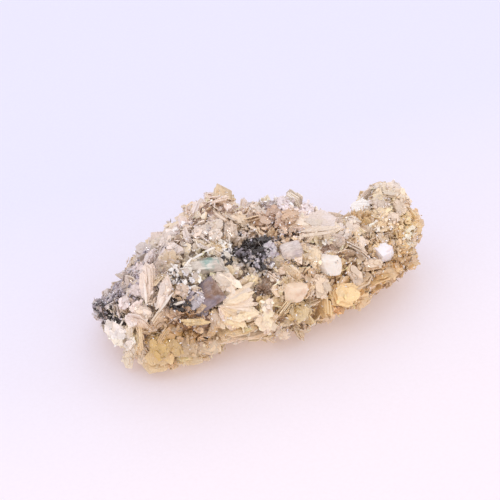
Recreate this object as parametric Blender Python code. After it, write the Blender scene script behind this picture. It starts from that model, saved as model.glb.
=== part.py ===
"""Aquamarine in mica: a hand specimen of pale muscovite books with black, grey, white and blue-green crystals in it.

Metres, +Z up.  The specimen rests on its own flat underside at Z = 0, and the origin is the middle of its base.
+X runs along the specimen, from the thick broken end to the narrow raised lobe; -Y is its front.
Lengths below are written in millimetres and multiplied by MM where they are used.
"""

import math
import random

import bmesh
import bpy
from mathutils import Matrix, Vector, noise

MM = 0.001

# ---------------------------------------------------------------- driving dimensions (millimetres)

WEST_TIP = -57.5  # the thick end
EAST_TIP = 62.5  # the end of the raised lobe

# The mass of the specimen: name, centre (x, y, z), radii (x, y, z).
LUMPS = (
    ("west_body", (-30.5, 1.5, 18.0), (26.0, 26.5, 20.5)),
    ("front_foot", (-33.5, -11.5, 8.5), (17.0, 9.0, 9.5)),
    ("hump", (-10.0, 12.5, 25.8), (12.0, 12.5, 12.0)),
    ("middle_body", (3.0, -2.5, 15.5), (31.0, 25.0, 18.0)),
    ("back_crest", (15.0, 8.0, 19.5), (12.0, 11.0, 11.0)),
    ("neck", (27.0, -9.0, 15.5), (19.0, 15.5, 13.0)),
    ("lobe", (44.5, -5.5, 15.0), (13.0, 13.5, 11.5)),
    ("knob", (52.8, 5.0, 21.0), (8.5, 9.0, 8.2)),
    ("east_end", (54.0, 0.5, 16.5), (9.0, 9.0, 8.5)),
)
BLEND_POWER = 7.0  # how sharply one lump gives way to the next

# Flat faces along which the specimen broke off: outward normal and distance from the origin.
BROKEN_FACES = (
    ((-0.52, 0.54, 0.66), 39.0),
    ((0.0, 0.0, -1.0), 0.0),  # the underside that it rests on
)


def spine(x):
    """The (y, z) of the specimen's middle line at a station x, all in millimetres."""
    total = 0.0
    y = z = 0.0
    for _, centre, radii in LUMPS:
        weight = math.exp(-(((x - centre[0]) / radii[0]) ** 2)) * radii[1] * radii[2]
        total += weight
        y += weight * centre[1]
        z += weight * centre[2]
    return y / total, z / total


def exit_distance(x, origin, way, centre, radii):
    """How far a ray in the cross-section at x runs before it leaves a lump, or 0 where it misses it."""
    along = 1.0 - ((x - centre[0]) / radii[0]) ** 2
    if along <= 0.0:
        return 0.0
    dy, dz = way[0] / radii[1], way[1] / radii[2]
    oy, oz = (origin[0] - centre[1]) / radii[1], (origin[1] - centre[2]) / radii[2]
    a = dy * dy + dz * dz
    b = dy * oy + dz * oz
    c = oy * oy + oz * oz - along
    inside = b * b - a * c
    if inside <= 0.0:
        return 0.0
    return max(0.0, (-b + math.sqrt(inside)) / a)


def skin_point(x, clock):
    """The point of the ground mass at station x and clock angle: 0 faces the front (-Y), 90 degrees the top."""
    middle = spine(x)
    way = (-math.cos(clock), math.sin(clock))
    reach = sum(
        exit_distance(x, middle, way, centre, radii) ** BLEND_POWER for _, centre, radii in LUMPS
    ) ** (1.0 / BLEND_POWER)
    start = Vector((x, middle[0], middle[1]))
    ray = Vector((0.0, way[0], way[1]))
    rough = noise.noise((start + ray * reach) / 9.0) * 1.6 + noise.noise((start + ray * reach) / 4.0) * 0.7
    reach = max(0.3, reach + rough)
    for normal, distance in BROKEN_FACES:
        outward = Vector(normal).normalized()
        climb = ray.dot(outward)
        if climb > 1e-6:
            reach = max(0.3, min(reach, (distance - start.dot(outward)) / climb))
    return (start + ray * reach) * MM


# ---------------------------------------------------------------- the mica books

SEAT_SPACING = 6.4  # least distance between two books
SEAT_SEED = 89
LEAST_HEIGHT = 2.2  # no book stands nearer to the ground than this
BOOK_SIZES = (3.0, 6.0)  # half widths of the scattered books
END_STATIONS = (-50.0, 43.0)  # beyond these, towards either tip, the books are smaller
END_SHARE = 0.72  # by this share
FLOW_REACH = 16.0  # over about this distance the books lean the same way
SUNK = 0.42  # how deep a steep book stands in the ground mass, as a share of its half length
BOOK_SHARE = 0.8  # the share of a large book's half width that scattered books keep away from
CRYSTAL_ROOM = 1.3  # how far scattered books keep away from a crystal
POCKET_GAP = 0.35  # clearance between an embedded crystal and the mica around it

# Large books that are set by hand: name, station, clock, lift, facing (azimuth, elevation), roll, half sizes.
# Azimuth 0 faces the front and 90 the raised lobe; roll 0 stands the long axis uphill; half sizes are
# (length, width, thickness).
LARGE_BOOKS = (
    ("tall_blade_a", -42, 51, 1.8, (-50, 30), 14, (8.6, 2.7, 1.5)),
    ("tall_blade_b", -38.5, 40, 2.0, (-35, 32), -8, (7.0, 2.4, 1.5)),
    ("square_plate", -46, 28, 1.6, (-35, 40), 75, (3.8, 2.9, 1.5)),
    ("smooth_bulge", -53, -16, 0.8, (-50, 30), 60, (4.2, 2.9, 2.0)),
    ("thin_ring", -49.5, -5, 1.2, (-70, 20), 25, (4.6, 2.9, 0.6)),
    ("thin_upright", -48, 2, 1.6, (-88, 5), 12, (5.4, 3.6, 0.6)),
    ("thin_back", -50, 12, 1.2, (-80, 10), 5, (3.8, 3.0, 0.6)),
    ("golden_plate", -43, -11, 1.0, (-25, 18), 15, (7.0, 5.2, 1.0)),
    ("golden_low", -36, -8, 0.6, (-5, 30), 60, (6.0, 4.4, 1.0)),
    ("front_fringe_a", -43, -26, 0.8, (-20, 50), 100, (6.0, 3.2, 0.9)),
    ("front_fringe_b", -34, -24, 1.0, (-5, 55), 80, (6.2, 3.2, 0.9)),
    ("long_pale_plate", -18, 31, 1.2, (-5, 45), 45, (5.6, 3.2, 1.2)),
    ("fan_top", -17, 14, 1.4, (-20, 42), -73, (7.0, 3.0, 0.8)),
    ("fan_middle", -16.5, 9, 1.6, (-15, 38), -98, (7.2, 3.2, 0.8)),
    ("fan_low", -18.5, 4, 1.4, (-10, 32), -125, (6.4, 3.0, 0.8)),
    ("round_disc", -6.5, 9, 2.6, (-20, 40), 0, (2.8, 2.5, 1.5)),
    ("wedge_plate", -7.5, -1, 1.4, (-30, 30), 20, (4.4, 3.8, 1.2)),
    ("strata_a", -20, -18, 0.6, (0, 72), 88, (8.0, 3.4, 0.7)),
    ("strata_b", -11, -18, 0.8, (0, 72), 84, (8.0, 3.4, 0.7)),
    ("strata_c", -15, -10, 0.6, (0, 76), 86, (7.0, 3.0, 0.6)),
    ("rough_plate", -27.5, -16, 1.0, (-20, 40), 80, (4.6, 3.2, 1.2)),
    ("big_smooth_book", 20, 84, -1.2, (-5, 60), -105, (10.5, 6.2, 3.6)),
    ("crest_book", 14, 100, -1.0, (10, 68), -95, (7.0, 4.6, 2.6)),
    ("tilted_hexagon", 14, 37, 1.4, (-55, 45), 20, (4.0, 3.0, 0.8)),
    ("olive_plate", 4, 0, 1.0, (-15, 40), 80, (3.8, 3.4, 0.9)),
    ("rounded_cream", -0.5, -20, 1.0, (-30, 45), 60, (3.4, 2.6, 1.2)),
    ("pinkish_mass", 13, 15, 0.4, (-10, 40), 20, (4.6, 3.6, 2.0)),
    ("golden_mass", 22, 4, 0.5, (0, 38), 70, (6.0, 4.8, 1.8)),
    ("orange_flake", 16.5, -8, 0.8, (-15, 35), 75, (2.4, 1.6, 0.8)),
    ("upright_a", 42.5, 71, 1.6, (-50, 30), -35, (2.8, 1.1, 0.6)),
    ("upright_b", 44.5, 69, 1.6, (-40, 30), -30, (3.0, 1.2, 0.6)),
    ("curled_lip", 34, 22, 1.0, (0, 58), 80, (4.2, 2.2, 1.0)),
    ("golden_fold_a", 38, 6, 0.8, (15, 45), 78, (5.4, 3.0, 0.8)),
    ("golden_fold_b", 43, 0, 0.8, (30, 40), 65, (5.0, 3.0, 0.8)),
    ("knob_plate_a", 50, 113, 0.2, (-45, 50), 0, (3.8, 2.8, 1.2)),
    ("knob_plate_b", 56, 104, 0.4, (5, 50), -20, (4.2, 3.4, 0.8)),
    ("knob_fold", 47.5, 91, 0.8, (-10, 55), 95, (4.6, 2.2, 0.9)),
    ("radial_lump", 39, 113, -0.4, (-20, 50), 0, (3.8, 3.6, 2.2)),
    ("white_disc", 38.4, 133, 0.5, (-10, 60), 90, (3.1, 2.5, 0.8)),
)

# ---------------------------------------------------------------- the crystals set in the mica

# Prisms: node, station, clock, lift, long axis (azimuth, elevation), half length, radius, sides, point.
# A long axis of azimuth 90 runs towards the raised lobe; point is the share of the length that tapers.
PRISMS = (
    ("aquamarine_crystal", -24, 54, 0.6, (80, -4), 7.4, 2.8, 6, 0.0),
    ("schorl_seam", -10.5, 55, 0.3, (80, 4), 4.8, 1.7, 9, 0.12),
    ("schorl_seam", -5.5, 59, 0.6, (68, 14), 4.2, 2.3, 9, 0.15),
    ("schorl_seam", -1.4, 61, 0.6, (96, -4), 3.4, 2.0, 9, 0.12),
    ("schorl_seam", -3, 49, 0.3, (74, 6), 4.4, 2.4, 9, 0.12),
    ("schorl_seam", -7, 47, 0.1, (112, -24), 3.6, 1.7, 9, 0.12),
    ("schorl_seam", -5.5, 38, 0.0, (10, 44), 3.8, 1.9, 9, 0.12),
    ("schorl_left_end", -55.2, 12, -0.3, (-50, 68), 4.2, 2.3, 9, 0.12),
    ("schorl_left_end", -54.6, 32, -0.4, (40, 50), 3.6, 2.1, 9, 0.12),
    ("schorl_pocket", -34.2, 30, 0.3, (80, -20), 4.4, 1.8, 9, 0.15),
    ("smoky_quartz_face", -24.5, 32, 0.4, (60, 42), 7.2, 5.0, 6, 0.45),
    ("smoky_quartz_knot", 7.2, 49, 0.2, (84, 4), 3.8, 3.5, 6, 0.3),
)
# Lumps: node, station, clock, lift, half sizes (x, y, z), turn about Z.
GRAINS = (
    ("albite_wedge", 18.2, 30, 1.0, (4.0, 3.2, 2.7), -20),
    ("albite_right", 41, 29, 0.8, (3.4, 2.8, 2.8), 15),
    ("albite_block", 3.8, 16, 0.8, (3.8, 2.8, 2.6), -12),
)

GRAIN_CUTS = 9  # planes that trim each block

# Where two crystals would meet, the later one is cut back around the earlier.
SETTING_ORDER = (
    "aquamarine_crystal", "smoky_quartz_face", "albite_wedge", "albite_right", "albite_block",
    "smoky_quartz_knot", "schorl_seam", "schorl_pocket", "schorl_left_end",
)

# Materials: base colour, roughness, metallic, transmission, index of refraction.
FINISHES = {
    "mica_cluster": ((0.62, 0.53, 0.40), 0.34, 0.0, 1.58),
    "aquamarine_crystal": ((0.50, 0.72, 0.70), 0.12, 0.75, 1.58),
    "schorl_seam": ((0.016, 0.016, 0.018), 0.28, 0.0, 1.64),
    "schorl_left_end": ((0.020, 0.020, 0.022), 0.32, 0.0, 1.64),
    "schorl_pocket": ((0.016, 0.016, 0.018), 0.28, 0.0, 1.64),
    "smoky_quartz_face": ((0.33, 0.28, 0.25), 0.12, 0.45, 1.544),
    "smoky_quartz_knot": ((0.44, 0.41, 0.42), 0.16, 0.45, 1.544),
    "albite_wedge": ((0.86, 0.83, 0.78), 0.42, 0.0, 1.53),
    "albite_right": ((0.84, 0.82, 0.84), 0.38, 0.0, 1.53),
    "albite_block": ((0.80, 0.72, 0.60), 0.44, 0.0, 1.53),
}


def direction(azimuth, elevation):
    """A unit vector: azimuth 0 points to the front (-Y) and 90 to +X; elevation is up."""
    a, e = math.radians(azimuth), math.radians(elevation)
    return Vector((math.sin(a) * math.cos(e), -math.cos(a) * math.cos(e), math.sin(e)))


def skin_normal(x, clock):
    """The outward normal of the ground mass, from three points close together."""
    here = skin_point(x, clock)
    along = skin_point(x + 1.5, clock) - skin_point(x - 1.5, clock)
    around = skin_point(x, clock + 0.06) - skin_point(x, clock - 0.06)
    normal = along.cross(around)
    middle = spine(x)
    outward = here - Vector((x, middle[0], middle[1])) * MM
    if normal.length < 1e-12:
        return outward.normalized()
    normal.normalize()
    return normal if normal.dot(outward) > 0 else -normal


def unit_sphere(subdivisions):
    """Station and clock of every vertex of an icosphere, and its triangles."""
    bm = bmesh.new()
    bmesh.ops.create_icosphere(bm, subdivisions=subdivisions, radius=1.0)
    half = (EAST_TIP - WEST_TIP) / 2.0
    middle = (EAST_TIP + WEST_TIP) / 2.0
    places = [(middle + half * v.co.x, math.atan2(v.co.z, -v.co.y)) for v in bm.verts]
    triangles = [[v.index for v in face.verts] for face in bm.faces]
    bm.free()
    return places, triangles


def new_object(name, bm, hidden=False):
    mesh = bpy.data.meshes.new(name)
    bmesh.ops.recalc_face_normals(bm, faces=bm.faces[:])
    bm.to_mesh(mesh)
    bm.free()
    obj = bpy.data.objects.new(name, mesh)
    bpy.context.scene.collection.objects.link(obj)
    if hidden:
        obj.hide_render = True
        obj.display_type = "WIRE"
    return obj


def ring_solid(bm, rings):
    """A closed solid through rings of points: the first and last are capped."""
    loops = [[bm.verts.new(point) for point in ring] for ring in rings]
    count = len(loops[0])
    for low, high in zip(loops[:-1], loops[1:]):
        for k in range(count):
            bm.faces.new((low[k], low[(k + 1) % count], high[(k + 1) % count], high[k]))
    bm.faces.new(loops[0][::-1])
    bm.faces.new(loops[-1])


def book(bm, centre, facing, long_way, sizes, rng):
    """One mica book: a six-sided slab; sizes are half length, half width and half thickness in millimetres."""
    facing = facing.normalized()
    long_way = (long_way - facing * long_way.dot(facing)).normalized()
    side = facing.cross(long_way)
    outline = []
    for k in range(6):
        angle = math.radians(60 * k + rng.uniform(-9, 9))
        stretch = rng.uniform(0.88, 1.06)
        outline.append(
            long_way * math.cos(angle) * sizes[0] * stretch + side * math.sin(angle) * sizes[1] * stretch
        )
    thick = facing * sizes[2]
    ring_solid(bm, [
        [centre + (point - thick) * MM for point in outline],
        [centre + (point * 0.94 + thick) * MM for point in outline],
    ])


def place(x, degrees, lift):
    """A point lifted off the skin by some millimetres."""
    clock = math.radians(degrees)
    return skin_point(x, clock) + skin_normal(x, clock) * lift * MM


def seats():
    """Well-spread places for the books, as (station, point, normal)."""
    rng = random.Random(SEAT_SEED)
    stations, _ = unit_sphere(5)
    rng.shuffle(stations)
    chosen = []
    for x, clock in stations:
        point = skin_point(x, clock)
        if point.z < LEAST_HEIGHT * MM:
            continue
        if all((point - other[1]).length > SEAT_SPACING * MM for other in chosen):
            chosen.append((x, point, skin_normal(x, clock)))
    return chosen


def flow(point):
    """The direction that neighbouring books share: it changes slowly from place to place."""
    return Vector([noise.noise(point / (FLOW_REACH * MM) + Vector((0, 0, 40 * k))) for k in range(3)])


def from_segment(point, middle, way, half):
    """The distance from a point to a straight stretch."""
    along = max(-half, min(half, (point - middle).dot(way)))
    return (point - middle - way * along).length


def is_taken(point):
    """Whether a crystal or a large book already holds this place on the skin."""
    for _, x, degrees, lift, _, _, sizes in LARGE_BOOKS:
        if (point - place(x, degrees, lift)).length < sizes[1] * BOOK_SHARE * MM:
            return True
    for _, x, degrees, lift, axis, half, radius, _, _ in PRISMS:
        away = from_segment(point, place(x, degrees, lift), direction(*axis), half * MM)
        if away < (radius + CRYSTAL_ROOM) * MM:
            return True
    for _, x, degrees, lift, sizes, _ in GRAINS:
        if (point - place(x, degrees, lift)).length < (sizes[0] + CRYSTAL_ROOM) * MM:
            return True
    return False


def scattered_books(bm):
    for number, (x, point, normal) in enumerate(seats()):
        if is_taken(point):
            continue
        rng = random.Random(SEAT_SEED * 1000 + number)
        lean = math.radians(rng.uniform(15, 88))
        drift = flow(point) + Vector([rng.uniform(-0.5, 0.5) for _ in range(3)])
        tangent = (drift - normal * drift.dot(normal)).normalized()
        facing = normal * math.cos(lean) + tangent * math.sin(lean)
        size = rng.uniform(*BOOK_SIZES)
        if not END_STATIONS[0] < x < END_STATIONS[1]:
            size *= END_SHARE
        sizes = (size * rng.uniform(1.0, 1.35), size * rng.uniform(0.75, 1.0), rng.uniform(0.45, 1.25))
        uphill = normal - facing * normal.dot(facing)
        if uphill.length < 0.2:
            uphill = facing.cross(drift)
        long_way = Matrix.Rotation(rng.uniform(-0.5, 0.5), 3, facing) @ uphill
        sunk = SUNK * sizes[0] * math.sin(lean)
        book(bm, point + normal * (0.35 - sunk * 0.55) * MM, facing, long_way, sizes, rng)


def large_books(bm):
    rng = random.Random(SEAT_SEED + 2)
    for _, x, degrees, lift, towards, roll, sizes in LARGE_BOOKS:
        facing = direction(*towards)
        uphill = Vector((0, 0, 1)) - facing * facing.z
        long_way = Matrix.Rotation(math.radians(roll), 3, facing) @ uphill
        book(bm, place(x, degrees, lift), facing, long_way, sizes, rng)


def prism(bm, row, grow):
    """A crystal prism, tapered towards both ends where it has a point; grow widens it on every side."""
    _, x, degrees, lift, axis, half, radius, sides, point = row
    way = direction(*axis)
    normal = skin_normal(x, math.radians(degrees))
    side = (normal - way * normal.dot(way)).normalized()
    other = way.cross(side)
    centre = place(x, degrees, lift)
    half += grow
    wide = radius + grow / math.cos(math.pi / sides)
    stations = ((-1.0, 1.0 - point * 0.9), (-1.0 + point, 1.0), (1.0 - point, 1.0), (1.0, 1.0 - point * 1.3))
    if point == 0.0:
        stations = ((-1.0, 1.0), (1.0, 1.0))
    rings = []
    for share, width in stations:
        ring = []
        for k in range(sides):
            angle = 2 * math.pi * (k + 0.5) / sides
            spoke = side * math.cos(angle) + other * math.sin(angle)
            ring.append(centre + (way * half * share + spoke * wide * width) * MM)
        rings.append(ring)
    ring_solid(bm, rings)


def grain(bm, row, grow):
    """A cleaved block: a box whose corners and edges are cut off by flat planes."""
    _, x, degrees, lift, sizes, turn = row
    centre = place(x, degrees, lift)
    spin = Matrix.Rotation(math.radians(turn), 3, "Z") @ Matrix.Rotation(math.radians(turn * 0.7), 3, "X")
    block = bmesh.new()
    bmesh.ops.create_cube(block, size=2.0)
    for vert in block.verts:
        vert.co = Vector([vert.co[k] * (sizes[k] + grow) for k in range(3)])
    rng = random.Random(x)
    for _ in range(GRAIN_CUTS):
        way = Vector([rng.uniform(-1, 1) for _ in range(3)]).normalized()
        reach = sum((way[k] * sizes[k]) ** 2 for k in range(3)) ** 0.5 * rng.uniform(0.92, 1.12) + grow
        cut = bmesh.ops.bisect_plane(
            block, geom=block.verts[:] + block.edges[:] + block.faces[:],
            plane_co=way * reach, plane_no=way, clear_outer=True,
        )
        edges = [item for item in cut["geom_cut"] if isinstance(item, bmesh.types.BMEdge)]
        if edges:
            bmesh.ops.contextual_create(block, geom=edges)
    for vert in block.verts:
        vert.co = centre + spin @ vert.co * MM
    piece = bpy.data.meshes.new("grain")
    block.to_mesh(piece)
    block.free()
    bm.from_mesh(piece)
    bpy.data.meshes.remove(piece)


def combine(target, tool, operation):
    """Apply one exact Boolean and leave the result on the target."""
    modifier = target.modifiers.new(operation, "BOOLEAN")
    modifier.operation = operation
    modifier.solver = "EXACT"
    modifier.use_self = True
    modifier.object = tool
    bpy.context.view_layer.update()
    graph = bpy.context.evaluated_depsgraph_get()
    result = bpy.data.meshes.new_from_object(target.evaluated_get(graph))
    target.modifiers.clear()
    old = target.data
    target.data = result
    bpy.data.meshes.remove(old)
    bpy.data.objects.remove(tool)


def largest_island(obj):
    """Keep the biggest closed shell, and merge vertices that share a place."""
    bm = bmesh.new()
    bm.from_mesh(obj.data)
    bmesh.ops.remove_doubles(bm, verts=bm.verts[:], dist=0.000001)
    left = set(bm.verts)
    islands = []
    while left:
        stack = [left.pop()]
        island = set(stack)
        while stack:
            for edge in stack.pop().link_edges:
                for vert in edge.verts:
                    if vert not in island:
                        island.add(vert)
                        left.discard(vert)
                        stack.append(vert)
        islands.append(island)
    keep = max(islands, key=len)
    bmesh.ops.delete(bm, geom=[v for v in bm.verts if v not in keep], context="VERTS")
    bmesh.ops.triangulate(bm, faces=bm.faces[:])
    bm.to_mesh(obj.data)
    bm.free()
    obj.data.update()


def finish(obj, name):
    colour, roughness, clear, bend = FINISHES[name]
    material = bpy.data.materials.new(name)
    material.use_nodes = True
    shader = material.node_tree.nodes["Principled BSDF"]
    shader.inputs["Base Color"].default_value = (*colour, 1.0)
    shader.inputs["Roughness"].default_value = roughness
    shader.inputs["Transmission Weight"].default_value = clear
    shader.inputs["IOR"].default_value = bend
    obj.data.materials.clear()
    obj.data.materials.append(material)
    obj.data.shade_flat()


def below_ground(name):
    """A slab under Z = 0, for trimming whatever hangs below the resting face."""
    bm = bmesh.new()
    made = bmesh.ops.create_cube(bm, size=1.0)
    for vert in made["verts"]:
        vert.co = Vector((vert.co.x * 0.3, vert.co.y * 0.2, (vert.co.z - 0.5) * 0.05))
    return new_object(name, bm, hidden=True)


def crystal_mesh(name, grow):
    """Every prism and grain of one node, each widened by grow millimetres."""
    bm = bmesh.new()
    for row in PRISMS:
        if row[0] == name:
            prism(bm, row, grow)
    for row in GRAINS:
        if row[0] == name:
            grain(bm, row, grow)
    return bm


def boxes_meet(one, other):
    """Whether two objects' boxes come within a millimetre of each other."""
    for k in range(3):
        a = [vert.co[k] for vert in one.data.vertices]
        b = [vert.co[k] for vert in other.data.vertices]
        if min(a) > max(b) + MM or min(b) > max(a) + MM:
            return False
    return True


def build():
    for obj in list(bpy.data.objects):
        bpy.data.objects.remove(obj, do_unlink=True)

    stations, triangles = unit_sphere(3)
    bm = bmesh.new()
    verts = [bm.verts.new(skin_point(x, clock)) for x, clock in stations]
    for triangle in triangles:
        bm.faces.new([verts[k] for k in triangle])
    mica = new_object("mica_cluster", bm)

    bm = bmesh.new()
    scattered_books(bm)
    large_books(bm)
    combine(mica, new_object("books", bm, hidden=True), "UNION")

    minerals = []
    for name in SETTING_ORDER:
        mineral = new_object(name, crystal_mesh(name, 0.0))
        if sum(row[0] == name for row in PRISMS) > 1:
            combine(mineral, below_ground("ground"), "DIFFERENCE")
        for neighbour in minerals:
            if boxes_meet(mineral, neighbour):
                room = new_object("room", crystal_mesh(neighbour.name, POCKET_GAP), hidden=True)
                combine(mineral, room, "DIFFERENCE")
        combine(mica, new_object("pocket", crystal_mesh(name, POCKET_GAP), hidden=True), "DIFFERENCE")
        largest_island(mineral)
        minerals.append(mineral)
    combine(mica, below_ground("ground"), "DIFFERENCE")
    largest_island(mica)

    corners = [mica.data.vertices[k].co for k in range(len(mica.data.vertices))]
    for mineral in minerals:
        corners += [vert.co for vert in mineral.data.vertices]
    shift = Vector((
        -(min(c.x for c in corners) + max(c.x for c in corners)) / 2,
        -(min(c.y for c in corners) + max(c.y for c in corners)) / 2,
        -min(c.z for c in corners),
    ))
    for obj in [mica] + minerals:
        obj.data.transform(Matrix.Translation(shift))
        finish(obj, obj.name)
    return shift


build()
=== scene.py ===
# %% [markdown]
# # Aquamarine in mica
#
# A hand specimen of pale muscovite: hundreds of small books of mica, standing and lying at every angle,
# grown together into one lump.  Black tourmaline, grey quartz, white feldspar and one pale blue-green
# aquamarine sit in the mica.  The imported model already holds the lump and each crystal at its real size.
# This script adds what shows from close by: the thin sheets of every book, the flakes between them, the
# grain of the crystals and the finish of every surface.

import math
import random

import bmesh
import bpy
import numpy as np
from mathutils import Matrix, Vector, noise
from mathutils.bvhtree import BVHTree


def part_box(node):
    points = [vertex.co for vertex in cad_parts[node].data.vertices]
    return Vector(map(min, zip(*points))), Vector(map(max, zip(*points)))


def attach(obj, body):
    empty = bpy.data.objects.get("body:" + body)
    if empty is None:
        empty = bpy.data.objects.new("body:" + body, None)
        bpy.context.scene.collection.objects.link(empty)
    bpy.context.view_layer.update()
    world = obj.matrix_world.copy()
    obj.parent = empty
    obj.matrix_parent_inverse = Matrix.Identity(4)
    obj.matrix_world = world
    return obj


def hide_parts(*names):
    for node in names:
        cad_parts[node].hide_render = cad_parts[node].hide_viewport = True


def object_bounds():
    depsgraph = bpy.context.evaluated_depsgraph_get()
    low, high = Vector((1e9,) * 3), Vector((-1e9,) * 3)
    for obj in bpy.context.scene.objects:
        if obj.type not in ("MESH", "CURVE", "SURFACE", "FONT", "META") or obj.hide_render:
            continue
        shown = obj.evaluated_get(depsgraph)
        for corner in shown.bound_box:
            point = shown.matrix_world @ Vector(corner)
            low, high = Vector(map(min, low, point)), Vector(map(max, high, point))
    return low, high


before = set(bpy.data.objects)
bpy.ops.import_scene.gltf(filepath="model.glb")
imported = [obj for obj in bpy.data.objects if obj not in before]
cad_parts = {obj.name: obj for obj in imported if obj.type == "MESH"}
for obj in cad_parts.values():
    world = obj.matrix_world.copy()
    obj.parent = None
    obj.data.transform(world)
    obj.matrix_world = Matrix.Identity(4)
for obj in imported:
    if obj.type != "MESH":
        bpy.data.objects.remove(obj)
CAD_BOX = [list(corner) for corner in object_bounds()]
MM = 0.001
print("nodes:", sorted(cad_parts))
print("box in mm:", [[round(v / MM, 1) for v in corner] for corner in CAD_BOX])

# %% [markdown]
# ## The ground mass
#
# The lump could be sculpted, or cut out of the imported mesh.  Here it is a recipe instead: nine ellipsoids
# placed along X, and for any station along X and any clock angle round it, one function that says how far
# out the skin is.  Every later step asks that function where to stand a book, so books, flakes and ground
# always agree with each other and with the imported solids, which follow the same recipe.

# %% The recipe of the lump, in millimetres
WEST_TIP = -57.5  # the thick end
EAST_TIP = 62.5  # the end of the raised lobe
LUMPS = (  # name, centre (x, y, z), radii (x, y, z)
    ("west_body", (-30.5, 1.5, 18.0), (26.0, 26.5, 20.5)),
    ("front_foot", (-33.5, -11.5, 8.5), (17.0, 9.0, 9.5)),
    ("hump", (-10.0, 12.5, 25.8), (12.0, 12.5, 12.0)),
    ("middle_body", (3.0, -2.5, 15.5), (31.0, 25.0, 18.0)),
    ("back_crest", (15.0, 8.0, 19.5), (12.0, 11.0, 11.0)),
    ("neck", (27.0, -9.0, 15.5), (19.0, 15.5, 13.0)),
    ("lobe", (44.5, -5.5, 15.0), (13.0, 13.5, 11.5)),
    ("knob", (52.8, 5.0, 21.0), (8.5, 9.0, 8.2)),
    ("east_end", (54.0, 0.5, 16.5), (9.0, 9.0, 8.5)),
)
BLEND_POWER = 7.0
BROKEN_FACES = (  # outward normal, distance
    ((-0.52, 0.54, 0.66), 39.0),
    ((0.0, 0.0, -1.0), 0.0),
)


ROUGHNESS = ((9.0, 1.6), (4.0, 0.7))  # width and height of the bumps on the skin
LEAST_REACH = 0.3  # mm from the middle line to the skin
STEP_ALONG = 1.5  # mm to either side, to the points from which a normal is taken
STEP_AROUND = 0.06  # radians to either side
print("lumps:", len(LUMPS), " length in mm:", EAST_TIP - WEST_TIP)


# %% The skin of the lump
def spine(x):
    """The (y, z) of the lump's middle line at a station x."""
    total = 0.0
    y = z = 0.0
    for _, centre, radii in LUMPS:
        weight = math.exp(-(((x - centre[0]) / radii[0]) ** 2)) * radii[1] * radii[2]
        total += weight
        y += weight * centre[1]
        z += weight * centre[2]
    return y / total, z / total


def exit_distance(x, origin, way, centre, radii):
    """How far a ray in the cross-section at x runs before it leaves a lump, or 0 where it misses."""
    along = 1.0 - ((x - centre[0]) / radii[0]) ** 2
    if along <= 0.0:
        return 0.0
    dy, dz = way[0] / radii[1], way[1] / radii[2]
    oy, oz = (origin[0] - centre[1]) / radii[1], (origin[1] - centre[2]) / radii[2]
    a = dy * dy + dz * dz
    b = dy * oy + dz * oz
    c = oy * oy + oz * oz - along
    inside = b * b - a * c
    if inside <= 0.0:
        return 0.0
    return max(0.0, (-b + math.sqrt(inside)) / a)


def raw_skin(x, clock):
    """The skin at station x and clock angle, in metres: 0 faces the front (-Y), 90 degrees the top."""
    middle = spine(x)
    way = (-math.cos(clock), math.sin(clock))
    reach = sum(
        exit_distance(x, middle, way, centre, radii) ** BLEND_POWER for _, centre, radii in LUMPS
    ) ** (1.0 / BLEND_POWER)
    start = Vector((x, middle[0], middle[1]))
    ray = Vector((0.0, way[0], way[1]))
    rough = sum(noise.noise((start + ray * reach) / width) * height for width, height in ROUGHNESS)
    reach = max(LEAST_REACH, reach + rough)
    for normal, distance in BROKEN_FACES:
        outward = Vector(normal).normalized()
        climb = ray.dot(outward)
        if climb > 1e-6:
            reach = max(LEAST_REACH, min(reach, (distance - start.dot(outward)) / climb))
    return (start + ray * reach) * MM


def raw_normal(x, clock):
    """The outward normal of the skin, from points close together."""
    along = raw_skin(x + STEP_ALONG, clock) - raw_skin(x - STEP_ALONG, clock)
    around = raw_skin(x, clock + STEP_AROUND) - raw_skin(x, clock - STEP_AROUND)
    normal = along.cross(around)
    middle = spine(x)
    outward = raw_skin(x, clock) - Vector((x, middle[0], middle[1])) * MM
    if normal.length < 1e-12:
        return outward.normalized()
    normal.normalize()
    return normal if normal.dot(outward) > 0 else -normal


print("top of the middle, mm:", round(raw_skin(0.0, math.pi / 2).z / MM, 1))

# %% [markdown]
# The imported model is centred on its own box, and the recipe isn't.  The aquamarine tells the two apart:
# the recipe knows where its middle is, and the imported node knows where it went.

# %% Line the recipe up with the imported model
AQUAMARINE_SEAT = (-24.0, math.radians(54.0))  # station, clock
AQUAMARINE_LIFT = 0.6 * MM


def box_middle(node):
    low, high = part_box(node)
    return (Vector(low) + Vector(high)) / 2


SHIFT = box_middle("aquamarine_crystal") - (
    raw_skin(*AQUAMARINE_SEAT) + raw_normal(*AQUAMARINE_SEAT) * AQUAMARINE_LIFT
)
print("recipe to frame, mm:", [round(v / MM, 2) for v in SHIFT])


# %% Places and ways on the lump
def outward_at(x, degrees):
    return raw_normal(x, math.radians(degrees))


def place(x, degrees, lift):
    """A point lifted off the skin by some millimetres."""
    return raw_skin(x, math.radians(degrees)) + SHIFT + outward_at(x, degrees) * lift * MM


def direction(azimuth, elevation):
    """A unit vector: azimuth 0 points to the front (-Y) and 90 to +X; elevation is up."""
    a, e = math.radians(azimuth), math.radians(elevation)
    return Vector((math.sin(a) * math.cos(e), -math.cos(a) * math.cos(e), math.sin(e)))


def any_way(dice):
    """A unit vector in any direction."""
    return Vector([dice.gauss(0, 1) for _ in range(3)]).normalized()


print("front of the middle, mm:", [round(v / MM, 1) for v in place(0.0, 0.0, 0.0)])
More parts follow.
